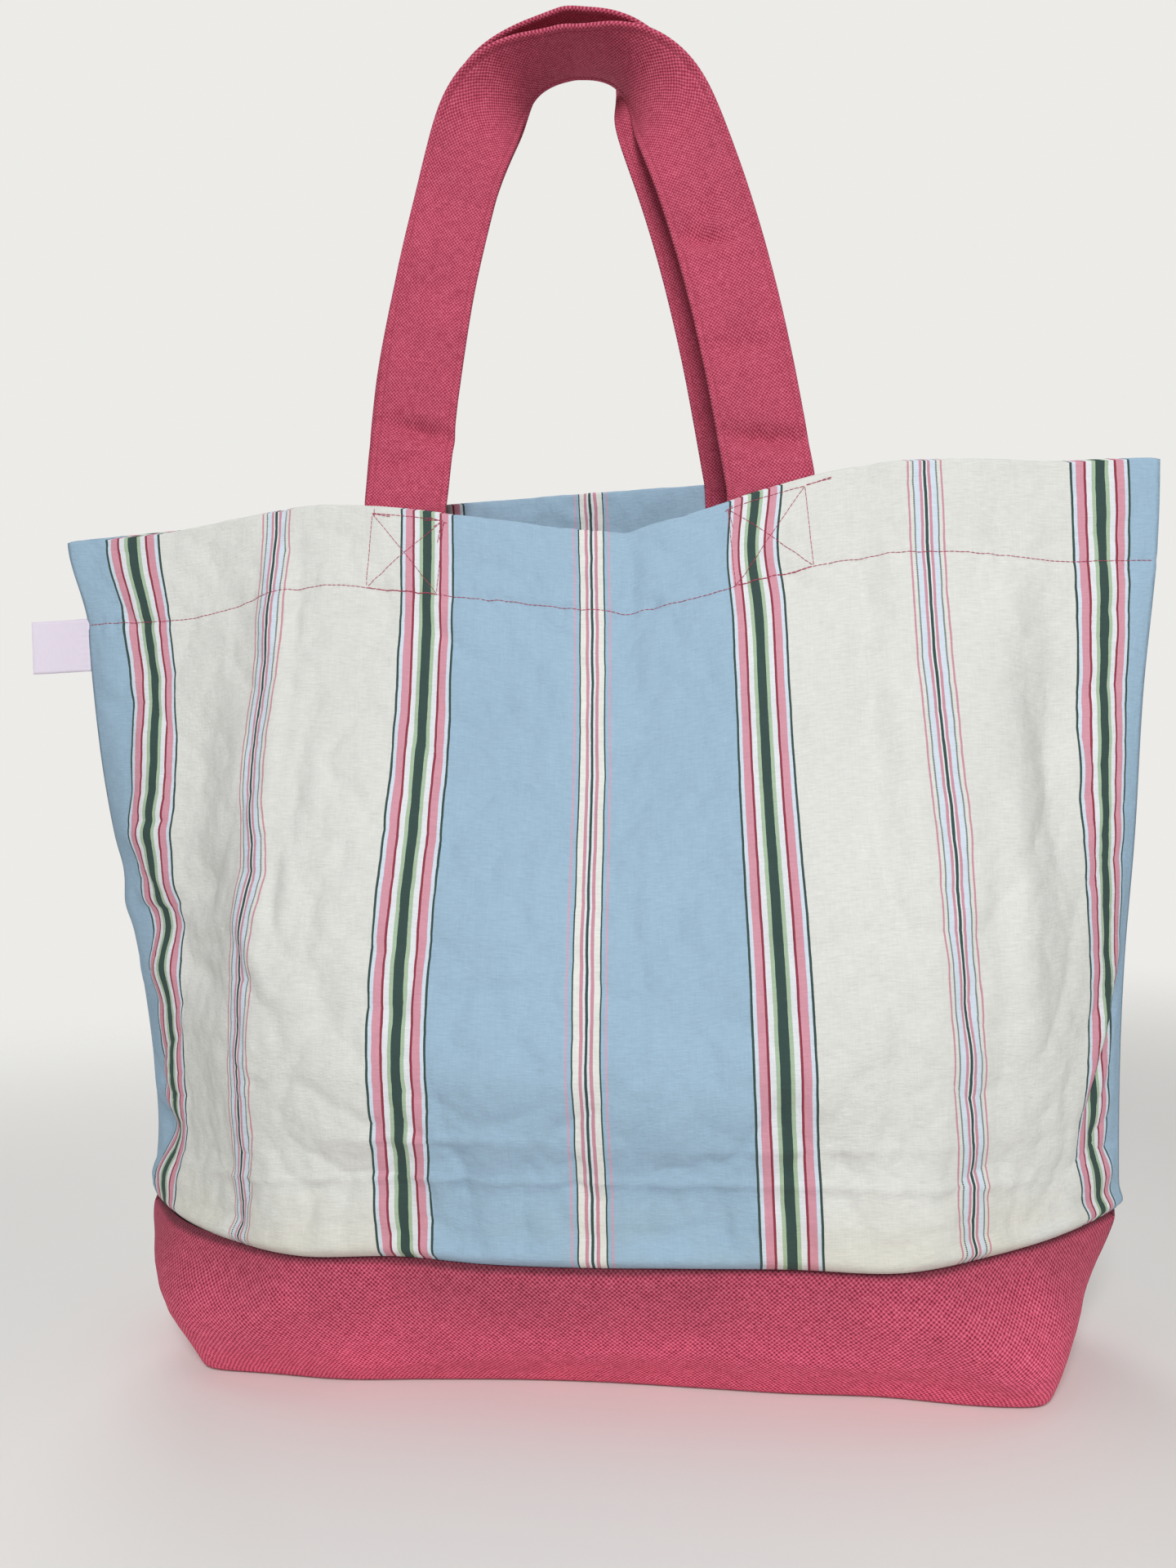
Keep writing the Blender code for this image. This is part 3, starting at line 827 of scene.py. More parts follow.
def make_panel(grid, material):
    """A striped panel: up the outside, over the rim and down inside as the hem."""
    side = grid["side"]
    name = SIDE_NAMES[side]
    rows = list(grid["points"])
    heights = list(grid["up"] * CLOTH_HEIGHT)
    radius = (CLOTH + FOLD_GAP) / 2
    for i in range(1, FOLD_ROWS):
        turn = math.pi * i / FOLD_ROWS
        reach = ACROSS * (1 - HEM_END_CUT * i / FOLD_ROWS)
        offset = -radius * (1 - math.cos(turn))
        rows.append(on_cloth(grid, reach, 1.0, offset, radius * math.sin(turn))[0])
        heights.append(CLOTH_HEIGHT + radius * turn)
    reach = ACROSS * (1 - HEM_END_CUT)
    low = hem_up(side, reach, -HEM_ALLOWANCE)
    for share in np.linspace(0, 1, HEM_ROWS + 1):
        rows.append(on_cloth(grid, reach, lerp(1, low, share), -2 * radius)[0])
        heights.append(CLOTH_HEIGHT + radius * math.pi + share * HEM_MEAN)
    u = ACROSS[None, :] * CLOTH_HALF
    v = np.array(heights)[:, None]
    u = u + stripe_slip(side, u, v)
    thing = make_cloth(name + "_panel_cloth", np.array(rows), u, v, material, CLOTH, flip=side == BACK)
    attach(thing, "bag")
    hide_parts(name + "_panel")


def base_row(side, across, height, inset):
    """One level row of the base's outer face, on the front or the back."""
    down = 1 - height / BASE_TOP
    bulge = lerp(BULGES[side][0] + CLOTH / 2, BASE_HALF_DEPTH, down**BASE_TUCK_POWER)
    half = lerp(HALF_WIDTHS[0], BASE_HALF_LENGTH, down**BASE_TAPER_POWER)
    squareness = lerp(SQUARENESS[0], BASE_SQUARENESS, down**BASE_CORNER_POWER)
    x, out = section(across, half - BASE_END_ROUND * inset, bulge - inset, squareness)
    out = out + seam_plan(side, across, SEAM_HEIGHT - height)
    if side == FRONT:
        out = out - across_mm(FOOT_DRAW_MM, across) * (1 - ease(height, 0, FOOT_DRAW_HEIGHT))
    left = bell(height - BASE_LEFT_BULGE_HEIGHT, BASE_LEFT_BULGE_REACH)
    right = 1 - ease(height, 0, BASE_RIGHT_CUT_HEIGHT)
    x = x - BASE_LEFT_BULGE * left * ease(-across, BASE_LEFT_START, 1)
    x = x - BASE_RIGHT_CUT * right * ease(across, BASE_RIGHT_START, 1)
    return np.stack([x, side * out, np.full(len(across), height)], 1)


def base_levels():
    """Heights and insets of the base's rows, from the seam down and round the lower edge."""
    levels = [(h, 0.0) for h in np.linspace(BASE_TOP, BASE_EDGE_RADIUS, BASE_WALL_ROWS + 1)]
    for turn in np.linspace(0, math.pi / 2, BASE_EDGE_ROWS + 1)[1:]:
        height = BASE_EDGE_RADIUS * (1 - math.sin(turn))
        levels.append((height, BASE_EDGE_RADIUS * (1 - math.cos(turn))))
    return levels


def base_points():
    """The base as one strip of canvas: down the front, under the bottom and up the back."""
    across = np.linspace(-1, 1, BASE_COLUMNS + 1)
    levels = base_levels()
    front = [base_row(FRONT, across, *level) for level in levels]
    back = [base_row(BACK, across, *level) for level in levels[::-1]]
    shares = np.linspace(0, 1, BASE_BOTTOM_ROWS + 1)[1:-1]
    bottom = [lerp(front[-1], back[0], share) for share in shares]
    return np.array(front + bottom + back), across


def base_relief(points, across):
    """Tuck under the cloth's seam and soft dents in the canvas."""
    x, y, z = np.moveaxis(points, 2, 0)
    dents = BASE_DENTS * waves(x, z * BASE_DENT_STRETCH + y, BASE_SEED)
    u = np.broadcast_to(across * CLOTH_HALF * 1000, dents.shape)
    for one in BASE_FOLDS:
        dents = dents + (y < 0) * fold(u, z * 1000, *one) / 1000
    free = ease(z, 0.0, BASE_STIFF_HEIGHT) * (1 - ease(np.abs(across), BASE_STIFF_END, 1.0))
    return dents * free - BASE_SEAM_TUCK * bell(SEAM_HEIGHT - z, BASE_SEAM_TUCK_REACH)


def make_base(material):
    """The canvas base, one sheet with its corners boxed."""
    points, across = base_points()
    points = points + outward(points, BACK) * base_relief(points, across)[:, :, None]
    path = lengths_along(points[:, len(across) // 2])
    u = across[None, :] * CLOTH_HALF
    from_seam = np.minimum(path, path[-1] - path)[:, None]
    thing = make_cloth("base_canvas", points, u, from_seam, material, CANVAS, INWARDS)
    shape = bmesh.new()
    shape.from_mesh(thing.data)
    bmesh.ops.remove_doubles(shape, verts=shape.verts, dist=WELD)
    bmesh.ops.recalc_face_normals(shape, faces=shape.faces)
    bottom = min(shape.faces, key=lambda face: face.calc_center_median().z)
    if bottom.normal.z > 0:
        bmesh.ops.reverse_faces(shape, faces=shape.faces)
    shape.to_mesh(thing.data)
    shape.free()
    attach(thing, "bag")
    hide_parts("canvas_base")


def joint_place(name):
    """Where a joint lies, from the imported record."""
    joint = next(j for j in frame["joints"] if j["name"] == name)
    return np.array(joint["pos_m"], float)


def hinge_of(side):
    return joint_place(SIDE_NAMES[side] + "_strap_swing")


def foot_x(side, sign):
    return sign * STRAP_CENTRE + STRAP_SHIFTS[side][sign]


def strap_loop(side):
    """Centre line and width direction of a strap's free loop, left foot to right foot."""
    i = np.linspace(-1, 1, 2 * LOOP_SAMPLES + 1)
    part = 1 - np.abs(i)
    hinge = hinge_of(side)
    foot_y = hinge[1] - side * (CLOTH + FOLD_GAP / 2 + STRAP_GAP + STRAP / 2)
    foot_z = hinge[2] + FOOT_GAP
    height = along(STRAP_OUTLINE_Z, part)
    x = np.copysign(along(STRAP_OUTLINE_X, part) * STRAP_CENTRE, i)
    for sign, fade in SHIFT_FADES.items():
        x = x + STRAP_SHIFTS[side][sign] * (1 - ease(part, *fade)) * (i * sign > 0)
    y = lerp(foot_y, STRAP_TOP_Y[side], height)
    z = lerp(foot_z, STRAP_TOPS[side], height)
    z = z + STRAP_PEAKS[side] * bell(x, STRAP_PEAK_REACH) * ease(part, *STRAP_PEAK_FADE)
    centres = np.stack([x, y, z], 1)
    ahead = unit(np.gradient(centres, axis=0))
    out = unit(np.cross(ahead, (0.0, 1.0, 0.0)))
    twist = (math.pi / 2 * ease(part, TWIST_START, TWIST_END))[:, None]
    return centres, out * np.cos(twist) + np.array((0.0, -1.0, 0.0)) * np.sin(twist)


def strap_end(grid, sign):
    """Centre line and width direction of a strap's sewn end, from its cut edge up to the rim."""
    side = grid["side"]
    x = foot_x(side, sign)
    rim = float(rim_height(side, np.array(x)))
    top = max(rim - hinge_of(side)[2] + END_BELOW_HINGE, LEAST_BELOW_RIM)
    up = up_below_rim(np.linspace(STRAP_END_LENGTH, top, STRAP_END_ROWS))
    offset = -(HEM_INNER + STRAP_GAP + STRAP / 2)
    left, middle, right = (
        on_cloth(grid, across_at(grid, x + aside, 1.0), up, offset)[0]
        for aside in (-BOX_HALF_WIDTH, 0, BOX_HALF_WIDTH)
    )
    return middle, unit(right - left) * sign


def smooth(values, reach):
    """Rows of values evened out over a number of rows to each side."""
    wide = 3 * reach
    weights = bell(np.arange(-wide, wide + 1), SMOOTH_SPREAD * reach)
    weights = weights / weights.sum()
    before = 2 * values[:1] - values[1 : wide + 1][::-1]
    after = 2 * values[-1:] - values[-wide - 1 : -1][::-1]
    padded = np.concatenate([before, values, after])
    return np.stack([np.convolve(padded[:, k], weights, "valid") for k in range(3)], 1)


def strap_line(grid):
    """Centre line, width and facing of a whole strap: left end, loop, right end."""
    left = strap_end(grid, -1)
    loop = strap_loop(grid["side"])
    right = strap_end(grid, 1)
    centres = np.concatenate([left[0], loop[0], right[0][::-1]])
    widths = np.concatenate([left[1], loop[1], right[1][::-1]])
    known = lengths_along(centres)
    places = np.linspace(0, known[-1], int(known[-1] / STRAP_STEP))
    reach = max(int(STRAP_SMOOTHING / STRAP_STEP), 1)
    centres = smooth(read_at(places, known, centres), reach)
    widths = smooth(read_at(places, known, widths), reach)
    ahead = unit(np.gradient(centres, axis=0))
    widths = unit(widths - ahead * np.sum(widths * ahead, axis=1, keepdims=True))
    return {
        "side": grid["side"],
        "length": places,
        "centres": centres,
        "widths": widths,
        "facing": np.cross(ahead, widths),
    }


def strap_relief(line, w):
    """How far a strap stands out from its plain shape, at every row and places across."""
    s = line["length"][:, None] * 1000
    across = w[None, :] * 1000
    total = -STRAP_CUP * (2 * w[None, :] / STRAP_WIDTH) ** 2 + 0 * s
    for at_w, at_s, *rest in STRAP_FOLDS[line["side"]]:
        start = at_s if at_s > 0 else s[-1, 0] + at_s
        total = total + fold(across, s, at_w, start, *rest) / 1000
    rough = uneven(0 * s, s, STRAP_WAVE_CHANGE, line["side"])
    free = np.minimum(s, s[-1] - s) / 1000 - STRAP_END_LENGTH
    return (total + STRAP_WAVE * rough) * ease(free, 0.0, STRAP_FREE)


def strap_thickness(w):
    """Half the strap's thickness across its width: rounded edges, a groove at each stitch line."""
    from_edge = STRAP_WIDTH / 2 - np.abs(w)
    near = np.clip(1 - from_edge / EDGE_ROUND, 0, 1)
    groove = STITCH_GROOVE * bell(from_edge - EDGE_STITCH_INSET, STITCH_GROOVE_REACH)
    return STRAP / 2 * np.sqrt(1 - near**2) - groove


def strap_stations():
    """Places across the strap's width, closer together at the edges and stitch lines."""
    left = np.array(STRAP_STATIONS_MM) / 1000 - STRAP_WIDTH / 2
    return np.concatenate([left, -left[:-1][::-1]])


def make_strap(line, material):
    """A whole strap, one closed body from one sewn end inside the hem, round its loop, to the other.
    """
    w = strap_stations()
    half = strap_thickness(w)
    ring_w = np.concatenate([w, w[1:-1][::-1]])
    ring_h = np.concatenate([half, -half[1:-1][::-1]])
    out = ring_h[None, :] + strap_relief(line, ring_w)
    points = line["centres"][:, None, :] + line["widths"][:, None, :] * ring_w[None, :, None]
    points = points + line["facing"][:, None, :] * out[:, :, None]
    faces = ring_faces(*points.shape[:2], flip=True)
    side = line["side"]
    name = SIDE_NAMES[side]
    uv = (ring_w[None, :], line["length"][:, None])
    thing = make_piece(name + "_strap_canvas", points, faces, uv, material)
    bend(thing)
    nodes = [f"{name}_strap_{hand}_end" for hand, _ in HANDS]
    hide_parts(name + "_strap", *nodes)


def bend(thing):
    """Bakes the placement of a piece of a strap into its mesh."""
    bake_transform(thing)


class Pile:
    """Many small stitches gathered into one mesh."""

    def __init__(self):
        self.points = []
        self.faces = []
        self.count = 0

    def tube(self, centres, radii, facing):
        ahead = unit(np.gradient(centres, axis=0))
        beside = unit(np.cross(ahead, facing))
        over = np.cross(beside, ahead)
        turns = np.linspace(0, 2 * math.pi, TUBE_SIDES, endpoint=False)[None, :, None]
        ring = np.cos(turns) * over[:, None, :] + np.sin(turns) * beside[:, None, :]
        points = centres[:, None, :] + ring * radii[:, None, None]
        self.points.append(points.reshape(-1, 3))
        self.faces += ring_faces(len(centres), TUBE_SIDES, self.count)
        self.count += len(centres) * TUBE_SIDES

    def stitches(self, points, facing):
        """Single stitches along a line that lies on a surface, their ends drawn into it."""
        known = lengths_along(points)
        pitch = STITCH_LENGTH + STITCH_GAP
        count = int(known[-1] / pitch)
        rise = np.array(STITCH_RISES) * THREAD_RADIUS
        radii = np.array(STITCH_RADII) * THREAD_RADIUS
        start = (known[-1] - count * pitch + STITCH_GAP) / 2
        for i in range(count):
            here = start + i * pitch + np.linspace(0, STITCH_LENGTH, len(rise))
            up = unit(read_at(here, known, facing))
            self.tube(read_at(here, known, points) + up * rise[:, None], radii, up)

    def sew(self, grid, across, up, offset):
        """Stitches on a panel, on its outside or, where the offset is below zero, its inside."""
        points, normals = on_cloth(grid, across, up, offset)
        self.stitches(points, normals * np.sign(offset))

    def make(self, node, material):
        """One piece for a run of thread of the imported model."""
        thing = make_piece(node + "es", np.concatenate(self.points), self.faces, (), material)
        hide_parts(node)
        return thing


def make_hem_stitches(grid, material):
    """The row of stitching that holds the hem, on both faces of the cloth."""
    side = grid["side"]
    pile = Pile()
    outside = np.linspace(-HEM_STITCH_END, HEM_STITCH_END, HEM_OUTER_SAMPLES)
    inside = np.linspace(HEM_END_CUT - 1, 1 - HEM_END_CUT, HEM_INNER_SAMPLES)
    for across, offset in ((outside, CLOTH / 2), (inside, -HEM_INNER)):
        pile.sew(grid, across, hem_up(side, across), offset)
    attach(pile.make(SIDE_NAMES[side] + "_hem_stitch", material), "bag")


def make_box_stitches(grid, hand, sign, material):
    """The box with a cross that holds a strap's end, on the cloth outside and the strap inside."""
    side = grid["side"]
    left = -BOX_HALF_WIDTH
    right = BOX_HALF_WIDTH
    corners = ((left, 1), (right, 1), (right, 0), (left, 0), (left, 1), (right, 0))
    runs = [*zip(corners, corners[1:]), ((right, 1), (left, 0))]
    if side == FRONT:
        runs += LOCK_STITCHES[sign]
    pile = Pile()
    for (x0, height0), (x1, height1) in runs:
        f = np.linspace(0, 1, BOX_SAMPLES)
        height = lerp(height0, height1, f)
        x = foot_x(side, sign) + lerp(x0, x1, f) - sign * BOX_LEANS[side] * height
        across = across_at(grid, x, up_below_rim(HEM_MEAN / 2))
        up = lerp(hem_up(side, across, BOX_LOW_INSET), up_below_rim(BOX_TOP_INSET), height)
        for offset in (CLOTH / 2, -(HEM_INNER + STRAP_GAP + STRAP)):
            pile.sew(grid, across, up, offset)
    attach(pile.make(f"{SIDE_NAMES[side]}_{hand}_box_stitch", material), "bag")


def make_edge_stitches(line, edge, sign, material):
    """One line of stitching along an edge of a strap, on both faces."""
    reach = sign * (STRAP_WIDTH / 2 - EDGE_STITCH_INSET)
    points = line["centres"] + line["widths"] * reach
    points = points + line["facing"] * strap_relief(line, np.array([reach]))
    proud = STRAP / 2 - STITCH_GROOVE
    pile = Pile()
    for face in (1, -1):
        pile.stitches(points + line["facing"] * proud * face, line["facing"] * face)
    name = f"{SIDE_NAMES[line['side']]}_strap_{edge}_stitch"
    bend(pile.make(name, material))


def make_label(material):
    """A bare tape folded in two, its fold outward and its ends in the side seam."""
    hinge = joint_place("label_flap")
    radius = (LABEL_TAPE + LABEL_FOLD_GAP) / 2
    straight = LABEL_LENGTH - radius
    out = np.linspace(0, straight, LABEL_COLUMNS)
    turns = np.linspace(0, math.pi, LABEL_TURNS)[1:-1]
    far = np.concatenate([out, straight + radius * np.sin(turns), out[::-1]])
    near = np.concatenate([0 * out - radius, -radius * np.cos(turns), 0 * out + radius])
    heights = np.linspace(-0.5, 0.5, LABEL_ROWS)[:, None] * LABEL_HEIGHT
    bow = np.sin(far / LABEL_LENGTH * LABEL_WAVE_TURN)[None, :] * (1 + LABEL_WAVE_LEAN * heights)
    crimp = np.sin(heights * 2 * math.pi / LABEL_CRIMP_PITCH) * (1 - ease(far, 0, LABEL_CRIMP_REACH))
    aside = LABEL_WAVE * bow + LABEL_CRIMP * crimp
    places = (hinge[0] - far[None, :], hinge[1] + near[None, :] + aside, hinge[2] + heights)
    points = np.stack(np.broadcast_arrays(*places), 2)
    known = lengths_along(np.stack([far, near], 1))
    thing = make_cloth("label_tape", points, known[None, :], heights, material, LABEL_TAPE)
    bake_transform(thing)
    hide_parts("label_tab")


class Nodes:
    """Shorthand for building a tree of shader nodes."""

    def __init__(self, tree):
        self.tree = tree

    def put(self, socket, value):
        if isinstance(value, bpy.types.NodeSocket):
            self.tree.links.new(value, socket)
        else:
            socket.default_value = value

    def node(self, kind, values=(), **settings):
        """A node of a kind, with its settings and its inputs, in order or by name."""
        made = self.tree.nodes.new("ShaderNode" + kind)
        for key, value in settings.items():
            setattr(made, key, value)
        for key, value in values.items() if isinstance(values, dict) else enumerate(values):
            self.put(made.inputs[key], value)
        return made

    def math(self, operation, *values, **settings):
        return self.node("Math", values, operation=operation, **settings).outputs[0]

    def times(self, first, *others):
        """The product of several values."""
        for other in others:
            first = self.math("MULTIPLY", first, other)
        return first

    def noise(self, u, v, u_scale, v_scale, detail=2.0, rough=0.5):
        """Noise of about 0 to 1 with its own scale along each cloth direction."""
        parts = [self.times(u, u_scale), self.times(v, v_scale), u_scale / v_scale]
        place = self.node("CombineXYZ", parts).outputs[0]
        values = {"Vector": place, "Scale": 1.0, "Detail": detail, "Roughness": rough}
        return self.node("TexNoise", values).outputs[0]

    def sine(self, value, pitch):
        return self.math("SINE", self.times(value, 2 * math.pi / pitch))

    def ranged(self, value, low, high, to_low, to_high, smooth=False):
        kind = "SMOOTHSTEP" if smooth else "LINEAR"
        made = self.node("MapRange", [value, low, high, to_low, to_high], interpolation_type=kind)
        return made.outputs[0]

    def tones(self, value, spread, low, high, smooth=False):
        """Noise of a spread about the half, as values from low to high."""
        return self.ranged(value, 0.5 - spread, 0.5 + spread, low, high, smooth)

    def mix(self, share, first, second, blend="MIX"):
        """Two colours mixed. The colour sockets of a mix node are inputs 6 and 7 and output 2."""
        values = {0: share, 6: first, 7: second}
        return self.node("Mix", values, data_type="RGBA", blend_type=blend).outputs[2]

    def scaled(self, colour, amount):
        return self.node("VectorMath", {0: colour, "Scale": amount}, operation="SCALE").outputs[0]

    def ramp(self, value, stops, kind):
        """A colour ramp from stops of place, colour and alpha."""
        made = self.node("ValToRGB", [value])
        ramp = made.color_ramp
        ramp.interpolation = kind
        while len(ramp.elements) < len(stops):
            ramp.elements.new(1.0)
        for element, (place, colour, alpha) in zip(ramp.elements, stops):
            element.position = place
            element.color = (*linear(colour)[:3], alpha)
        return made.outputs

    def bump(self, height, distance, strength, before=None):
        values = {"Height": height, "Distance": distance, "Strength": strength}
        if before:
            values["Normal"] = before
        return self.node("Bump", values).outputs[0]


class Shader(Nodes):
    """The nodes of one material."""

    def __init__(self, name, roughness):
        self.material = bpy.data.materials.new(name)
        self.material.use_nodes = True
        super().__init__(self.material.node_tree)
        self.surface = self.tree.nodes["Principled BSDF"]
        self.surface.inputs["Roughness"].default_value = roughness

    def cloth_map(self):
        """The two cloth coordinates, in metres."""
        place = self.node("UVMap", uv_map="cloth").outputs["UV"]
        parts = self.node("SeparateXYZ", [place])
        return parts.outputs[0], parts.outputs[1]

    def finish(self, colour, normal):
        self.put(self.surface.inputs["Base Color"], colour)
        self.put(self.surface.inputs["Normal"], normal)
        return self.material


def striped(shader, u, v):
    """The colours of the stripes."""
    sway = shader.noise(u, v, *STRIPE_SWAY_GRAIN)
    shift = shader.math("MULTIPLY_ADD", sway, STRIPE_SWAY, -STRIPE_SHIFT - STRIPE_SWAY / 2)
    from_c = shader.math("ABSOLUTE", shader.math("ADD", u, shift))
    from_b = shader.math("ABSOLUTE", shader.math("SUBTRACT", from_c, BAND_B_PLACE))
    from_a = shader.math("ABSOLUTE", shader.math("SUBTRACT", from_b, BAND_A_FROM_B))
    blue = shader.math("GREATER_THAN", from_b, BAND_A_FROM_B)
    colour = shader.mix(blue, linear(CREAM), linear(BLUE))
    dots = shader.math("GREATER_THAN", shader.sine(v, DOT_PITCH), DOT_CUT)
    for distance, band in ((from_c, BAND_C), (from_b, BAND_B), (from_a, BAND_A)):
        share = shader.times(distance, 1000 / BAND_REACH)
        stops = [(place / BAND_REACH, shade, cover) for place, shade, cover in band]
        shade, cover = shader.ramp(share, stops, "CONSTANT")
        solid = shader.math("GREATER_THAN", cover, (SOLID + DOTTED) / 2)
        some = shader.math("GREATER_THAN", cover, (DOTTED + FIELD) / 2)
        cover = shader.math("MAXIMUM", solid, shader.times(some, dots))
        colour = shader.mix(cover, colour, shade)
    return colour


def cotton_material():
    """Plain weave with a fine rib across, uneven yarns, a slight stain above the base seam."""
    shader = Shader("striped_cotton_cloth", COTTON_ROUGHNESS)
    u, v = shader.cloth_map()
    low = shader.ranged(v, 0.0, STAIN_HEIGHT, STAIN_SHARE, 0.0, smooth=True)
    patches = shader.noise(u, v, *STAIN_GRAIN, detail=3.0)
    patches = shader.tones(patches, *STAIN_TONES, smooth=True)
    stain = shader.mix(shader.times(low, patches), (1, 1, 1, 1), linear(STAIN))
    colour = shader.mix(1.0, striped(shader, u, v), stain, "MULTIPLY")
    weft = shader.noise(u, v, *WEFT_GRAIN, detail=3.0)
    warp = shader.noise(u, v, *WARP_GRAIN)
    cloud = shader.noise(u, v, *COTTON_CLOUDS, detail=4.0)
    tone = shader.times(
        shader.tones(weft, *WEFT_TONES),
        shader.tones(warp, *WARP_TONES),
        shader.tones(cloud, *CLOUD_TONES),
    )
    creases = shader.noise(u, v, *CREASE_GRAIN, detail=6.0, rough=0.6)
    normal = shader.bump(creases, *CREASE_BUMP)
    rib = shader.math("MULTIPLY_ADD", shader.sine(v, RIB_PITCH), RIB_SHARE, weft)
    return shader.finish(shader.scaled(colour, tone), shader.bump(rib, *RIB_BUMP, normal))


def canvas_material(name, pitch, hole, seam_shading):
    """Heavy hopsack: paired yarns, light where they pass over, dark pinholes between them; on the
    base, painted shade below the seam and a painted shadow line in its groove.
    """
    shader = Shader(name, CANVAS_ROUGHNESS)
    u, v = shader.cloth_map()
    sway = shader.math("MULTIPLY_ADD", shader.noise(u, v, *YARN_SWAY_GRAIN), YARN_SWAY, u)
    lift = shader.math("MULTIPLY_ADD", shader.noise(v, u, *YARN_SWAY_GRAIN), YARN_SWAY, v)
    checks = shader.times(shader.sine(sway, pitch), shader.sine(lift, pitch))
    yarn = shader.math("ADD", shader.noise(u, v, *YARN_GRAIN), shader.noise(u, v, *YARN_GRAIN[::-1]))
    weave = shader.math("MULTIPLY_ADD", yarn, YARN_SHARE, checks)
    share = shader.ranged(weave, *WEAVE_RANGE, 0.0, 1.0)
    shades = (CANVAS_LIGHT, CANVAS_MIDDLE, CANVAS_SHADE, CANVAS_DARK, hole)
    stops = [(place, shade, SOLID) for place, shade in zip(CANVAS_STOPS, shades)]
    colour = shader.ramp(share, stops, "LINEAR")[0]
    tone = shader.tones(shader.noise(u, v, *CANVAS_CLOUDS, detail=4.0), *CANVAS_TONES)
    # Painted light and shade on the base: the canvas darkened below the seam, where the cloth's
    # overhang shades it, and lightened toward the lower edge.
    if seam_shading:
        low = shader.ranged(v, 0.0, SHADE_BELOW_SEAM, *SEAM_SHADE_TONES, smooth=True)
        # Painted shadow line in the seam's groove.
        groove = shader.ranged(v, GROOVE_SHADOW_START, GROOVE_SHADOW_END, GROOVE_SHADOW_TONE, 1.0, smooth=True)
        tone = shader.times(tone, low, groove)
    normal = shader.bump(shader.noise(u, v, *DENT_GRAIN, detail=4.0), *DENT_BUMP)
    normal = shader.bump(shader.math("SUBTRACT", 1.0, share), *WEAVE_BUMP, normal)
    return shader.finish(shader.scaled(colour, tone), normal)


def thread_material():
    """Twisted sewing thread."""
    shader = Shader("raspberry_sewing_thread", THREAD_ROUGHNESS)
    place = shader.node("TexCoord").outputs["Object"]
    twist = shader.node("TexNoise", {"Vector": place, "Scale": THREAD_GRAIN}).outputs[0]
    colour = shader.ramp(twist, THREAD_STOPS, "LINEAR")[0]
    return shader.finish(colour, shader.bump(twist, *THREAD_BUMP))


def tape_material():
    """Smooth woven tape with a faint rib."""
    shader = Shader("white_woven_tape", TAPE_ROUGHNESS)
    u, v = shader.cloth_map()
    weft = shader.noise(u, v, *TAPE_GRAIN)
    colour = shader.scaled(linear(TAPE)[:3], shader.tones(weft, *TAPE_TONES))
    rib = shader.math("MULTIPLY_ADD", shader.sine(u, TAPE_RIB_PITCH), TAPE_RIB_SHARE, weft)
    return shader.finish(colour, shader.bump(rib, *TAPE_BUMP))


def make_camera():
    """A camera at the photograph's place, turned and rolled as it was."""
    data = bpy.data.cameras.new("camera")
    data.sensor_width = SENSOR
    data.lens = FOCAL_PIXELS * SENSOR / IMAGE_HEIGHT
    data.clip_start = CLIP_START
    camera = add_object("camera", data)
    level = Matrix.Rotation(-CAMERA_YAW, 4, "Z") @ Matrix.Rotation(math.pi / 2, 4, "X")
    turned = level @ Matrix.Rotation(CAMERA_ROLL, 4, "Z")
    camera.matrix_world = Matrix.Translation(CAMERA_PLACE) @ turned
    bpy.context.scene.camera = camera


def make_lamp(name, place, target, size, power):
    data = bpy.data.lights.new(name, "AREA")
    data.shape = "DISK"
    data.size = size
    data.energy = power
    lamp = add_object(name, data)
    lamp.location = place
    lamp.rotation_euler = (Vector(target) - Vector(place)).to_track_quat("-Z", "Y").to_euler()


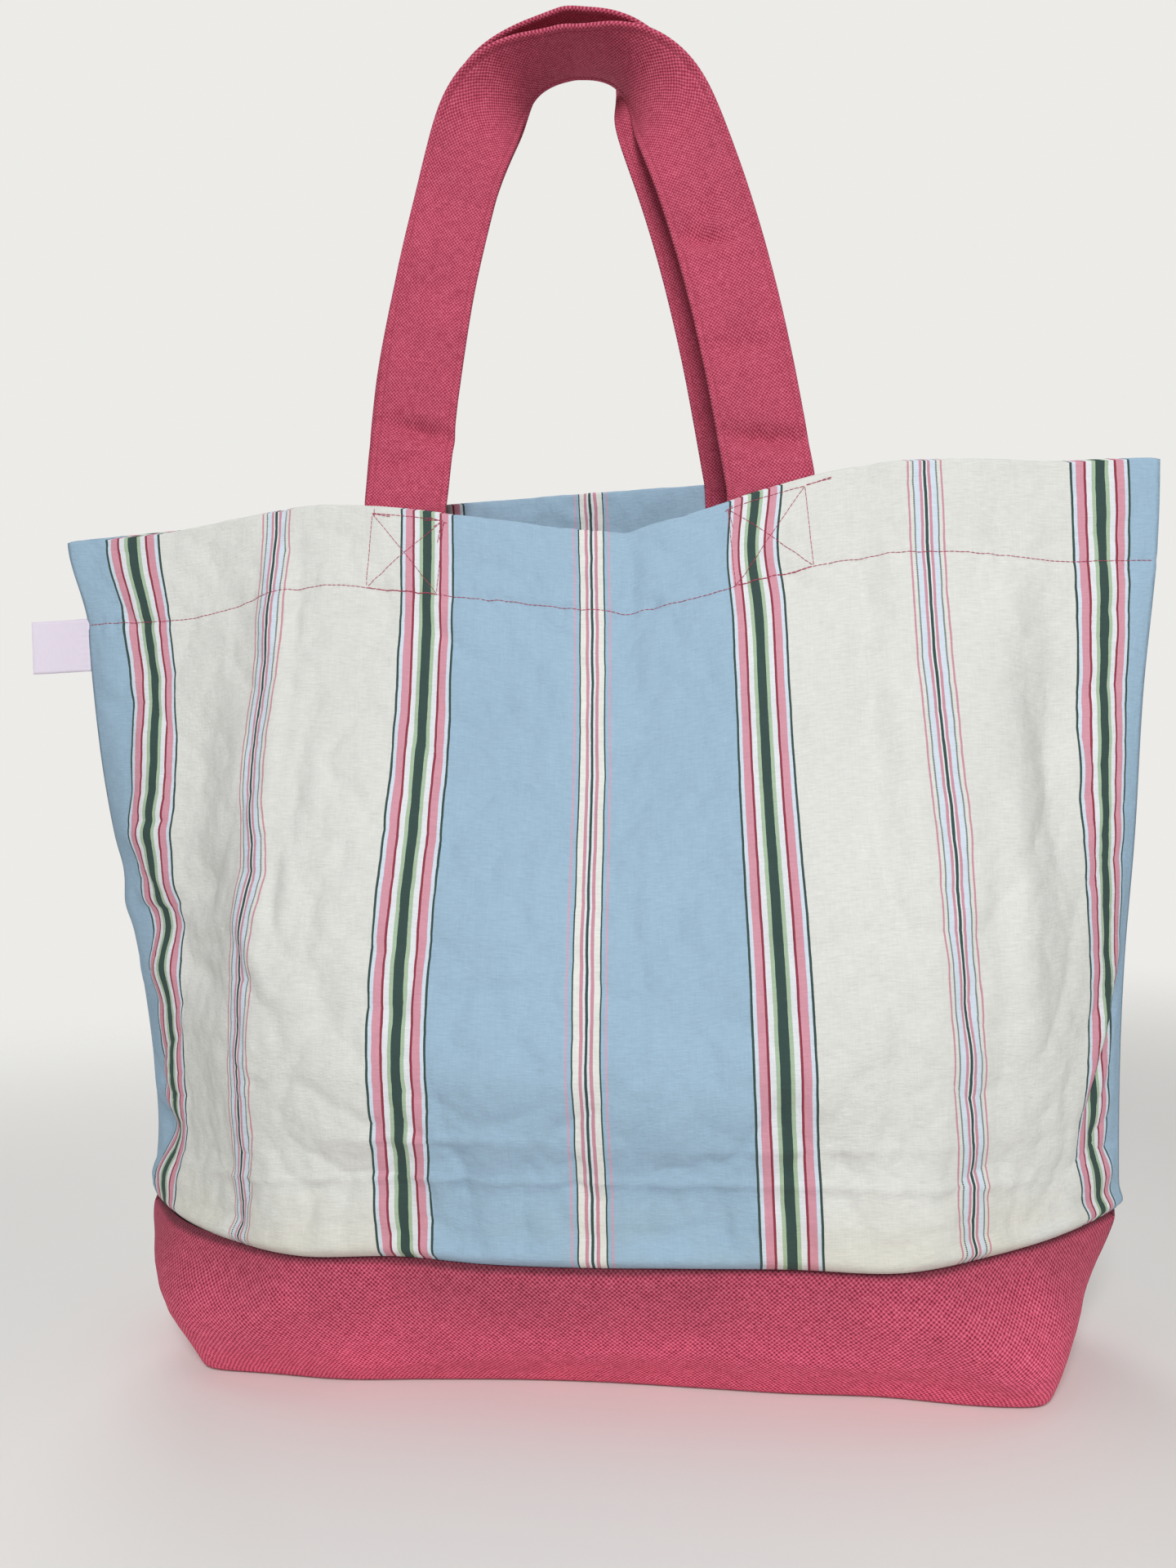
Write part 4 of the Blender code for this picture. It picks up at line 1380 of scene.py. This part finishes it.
def make_world():
    """Even fill light, and a pale background for the camera and for reflections."""
    world = bpy.data.worlds.new("studio")
    world.use_nodes = True
    nodes = Nodes(world.node_tree)
    fill = nodes.tree.nodes["Background"]
    nodes.put(fill.inputs["Color"], (1.0, 1.0, 1.0, 1.0))
    nodes.put(fill.inputs["Strength"], FILL)
    shown = nodes.node("Background", [linear(FLOOR)])
    rays = nodes.node("LightPath").outputs
    seen = nodes.math("ADD", rays["Is Camera Ray"], rays["Is Glossy Ray"])
    seen = nodes.math("ADD", seen, rays["Is Transmission Ray"], use_clamp=True)
    mix = nodes.node("MixShader", [seen, fill.outputs[0], shown.outputs[0]])
    nodes.put(nodes.tree.nodes["World Output"].inputs[0], mix.outputs[0])
    bpy.context.scene.world = world


def make_floor():
    """A pale disc that fades out around the bag, so that no edge shows."""
    shader = Shader("pale_floor", FLOOR_ROUGHNESS)
    place = shader.node("TexCoord").outputs["Object"]
    from_middle = shader.node("VectorMath", [place], operation="LENGTH").outputs["Value"]
    cover = shader.ranged(from_middle, *FLOOR_FADE, 1.0, 0.0, smooth=True)
    shader.put(shader.surface.inputs["Base Color"], linear(FLOOR))
    shader.put(shader.surface.inputs["Alpha"], cover)
    turns = np.linspace(0, 2 * math.pi, FLOOR_SIDES, endpoint=False)
    rim = FLOOR_RADIUS * np.stack([np.cos(turns), np.sin(turns), 0 * turns], 1)
    floor = make_piece("floor", rim, [tuple(range(FLOOR_SIDES))], (), shader.material)
    floor.location.z = -FLOOR_DROP


def make_studio():
    make_camera()
    make_world()
    make_floor()
    for lamp in LAMPS:
        make_lamp(*lamp)
    bpy.context.scene.view_settings.view_transform = "Standard"


def make_bag():
    cotton = cotton_material()
    canvas = canvas_material("raspberry_strap_canvas", STRAP_PITCH, STRAP_HOLE, False)
    thread = thread_material()
    make_base(canvas_material("raspberry_base_canvas", BASE_PITCH, BASE_HOLE, True))
    for side in (FRONT, BACK):
        grid = make_grid(side)
        make_panel(grid, cotton)
        make_hem_stitches(grid, thread)
        for hand, sign in HANDS:
            make_box_stitches(grid, hand, sign, thread)
        line = strap_line(grid)
        make_strap(line, canvas)
        for edge, sign in (("inner", -1), ("outer", 1)):
            make_edge_stitches(line, edge, sign, thread)
    make_label(tape_material())


make_studio()
make_bag()
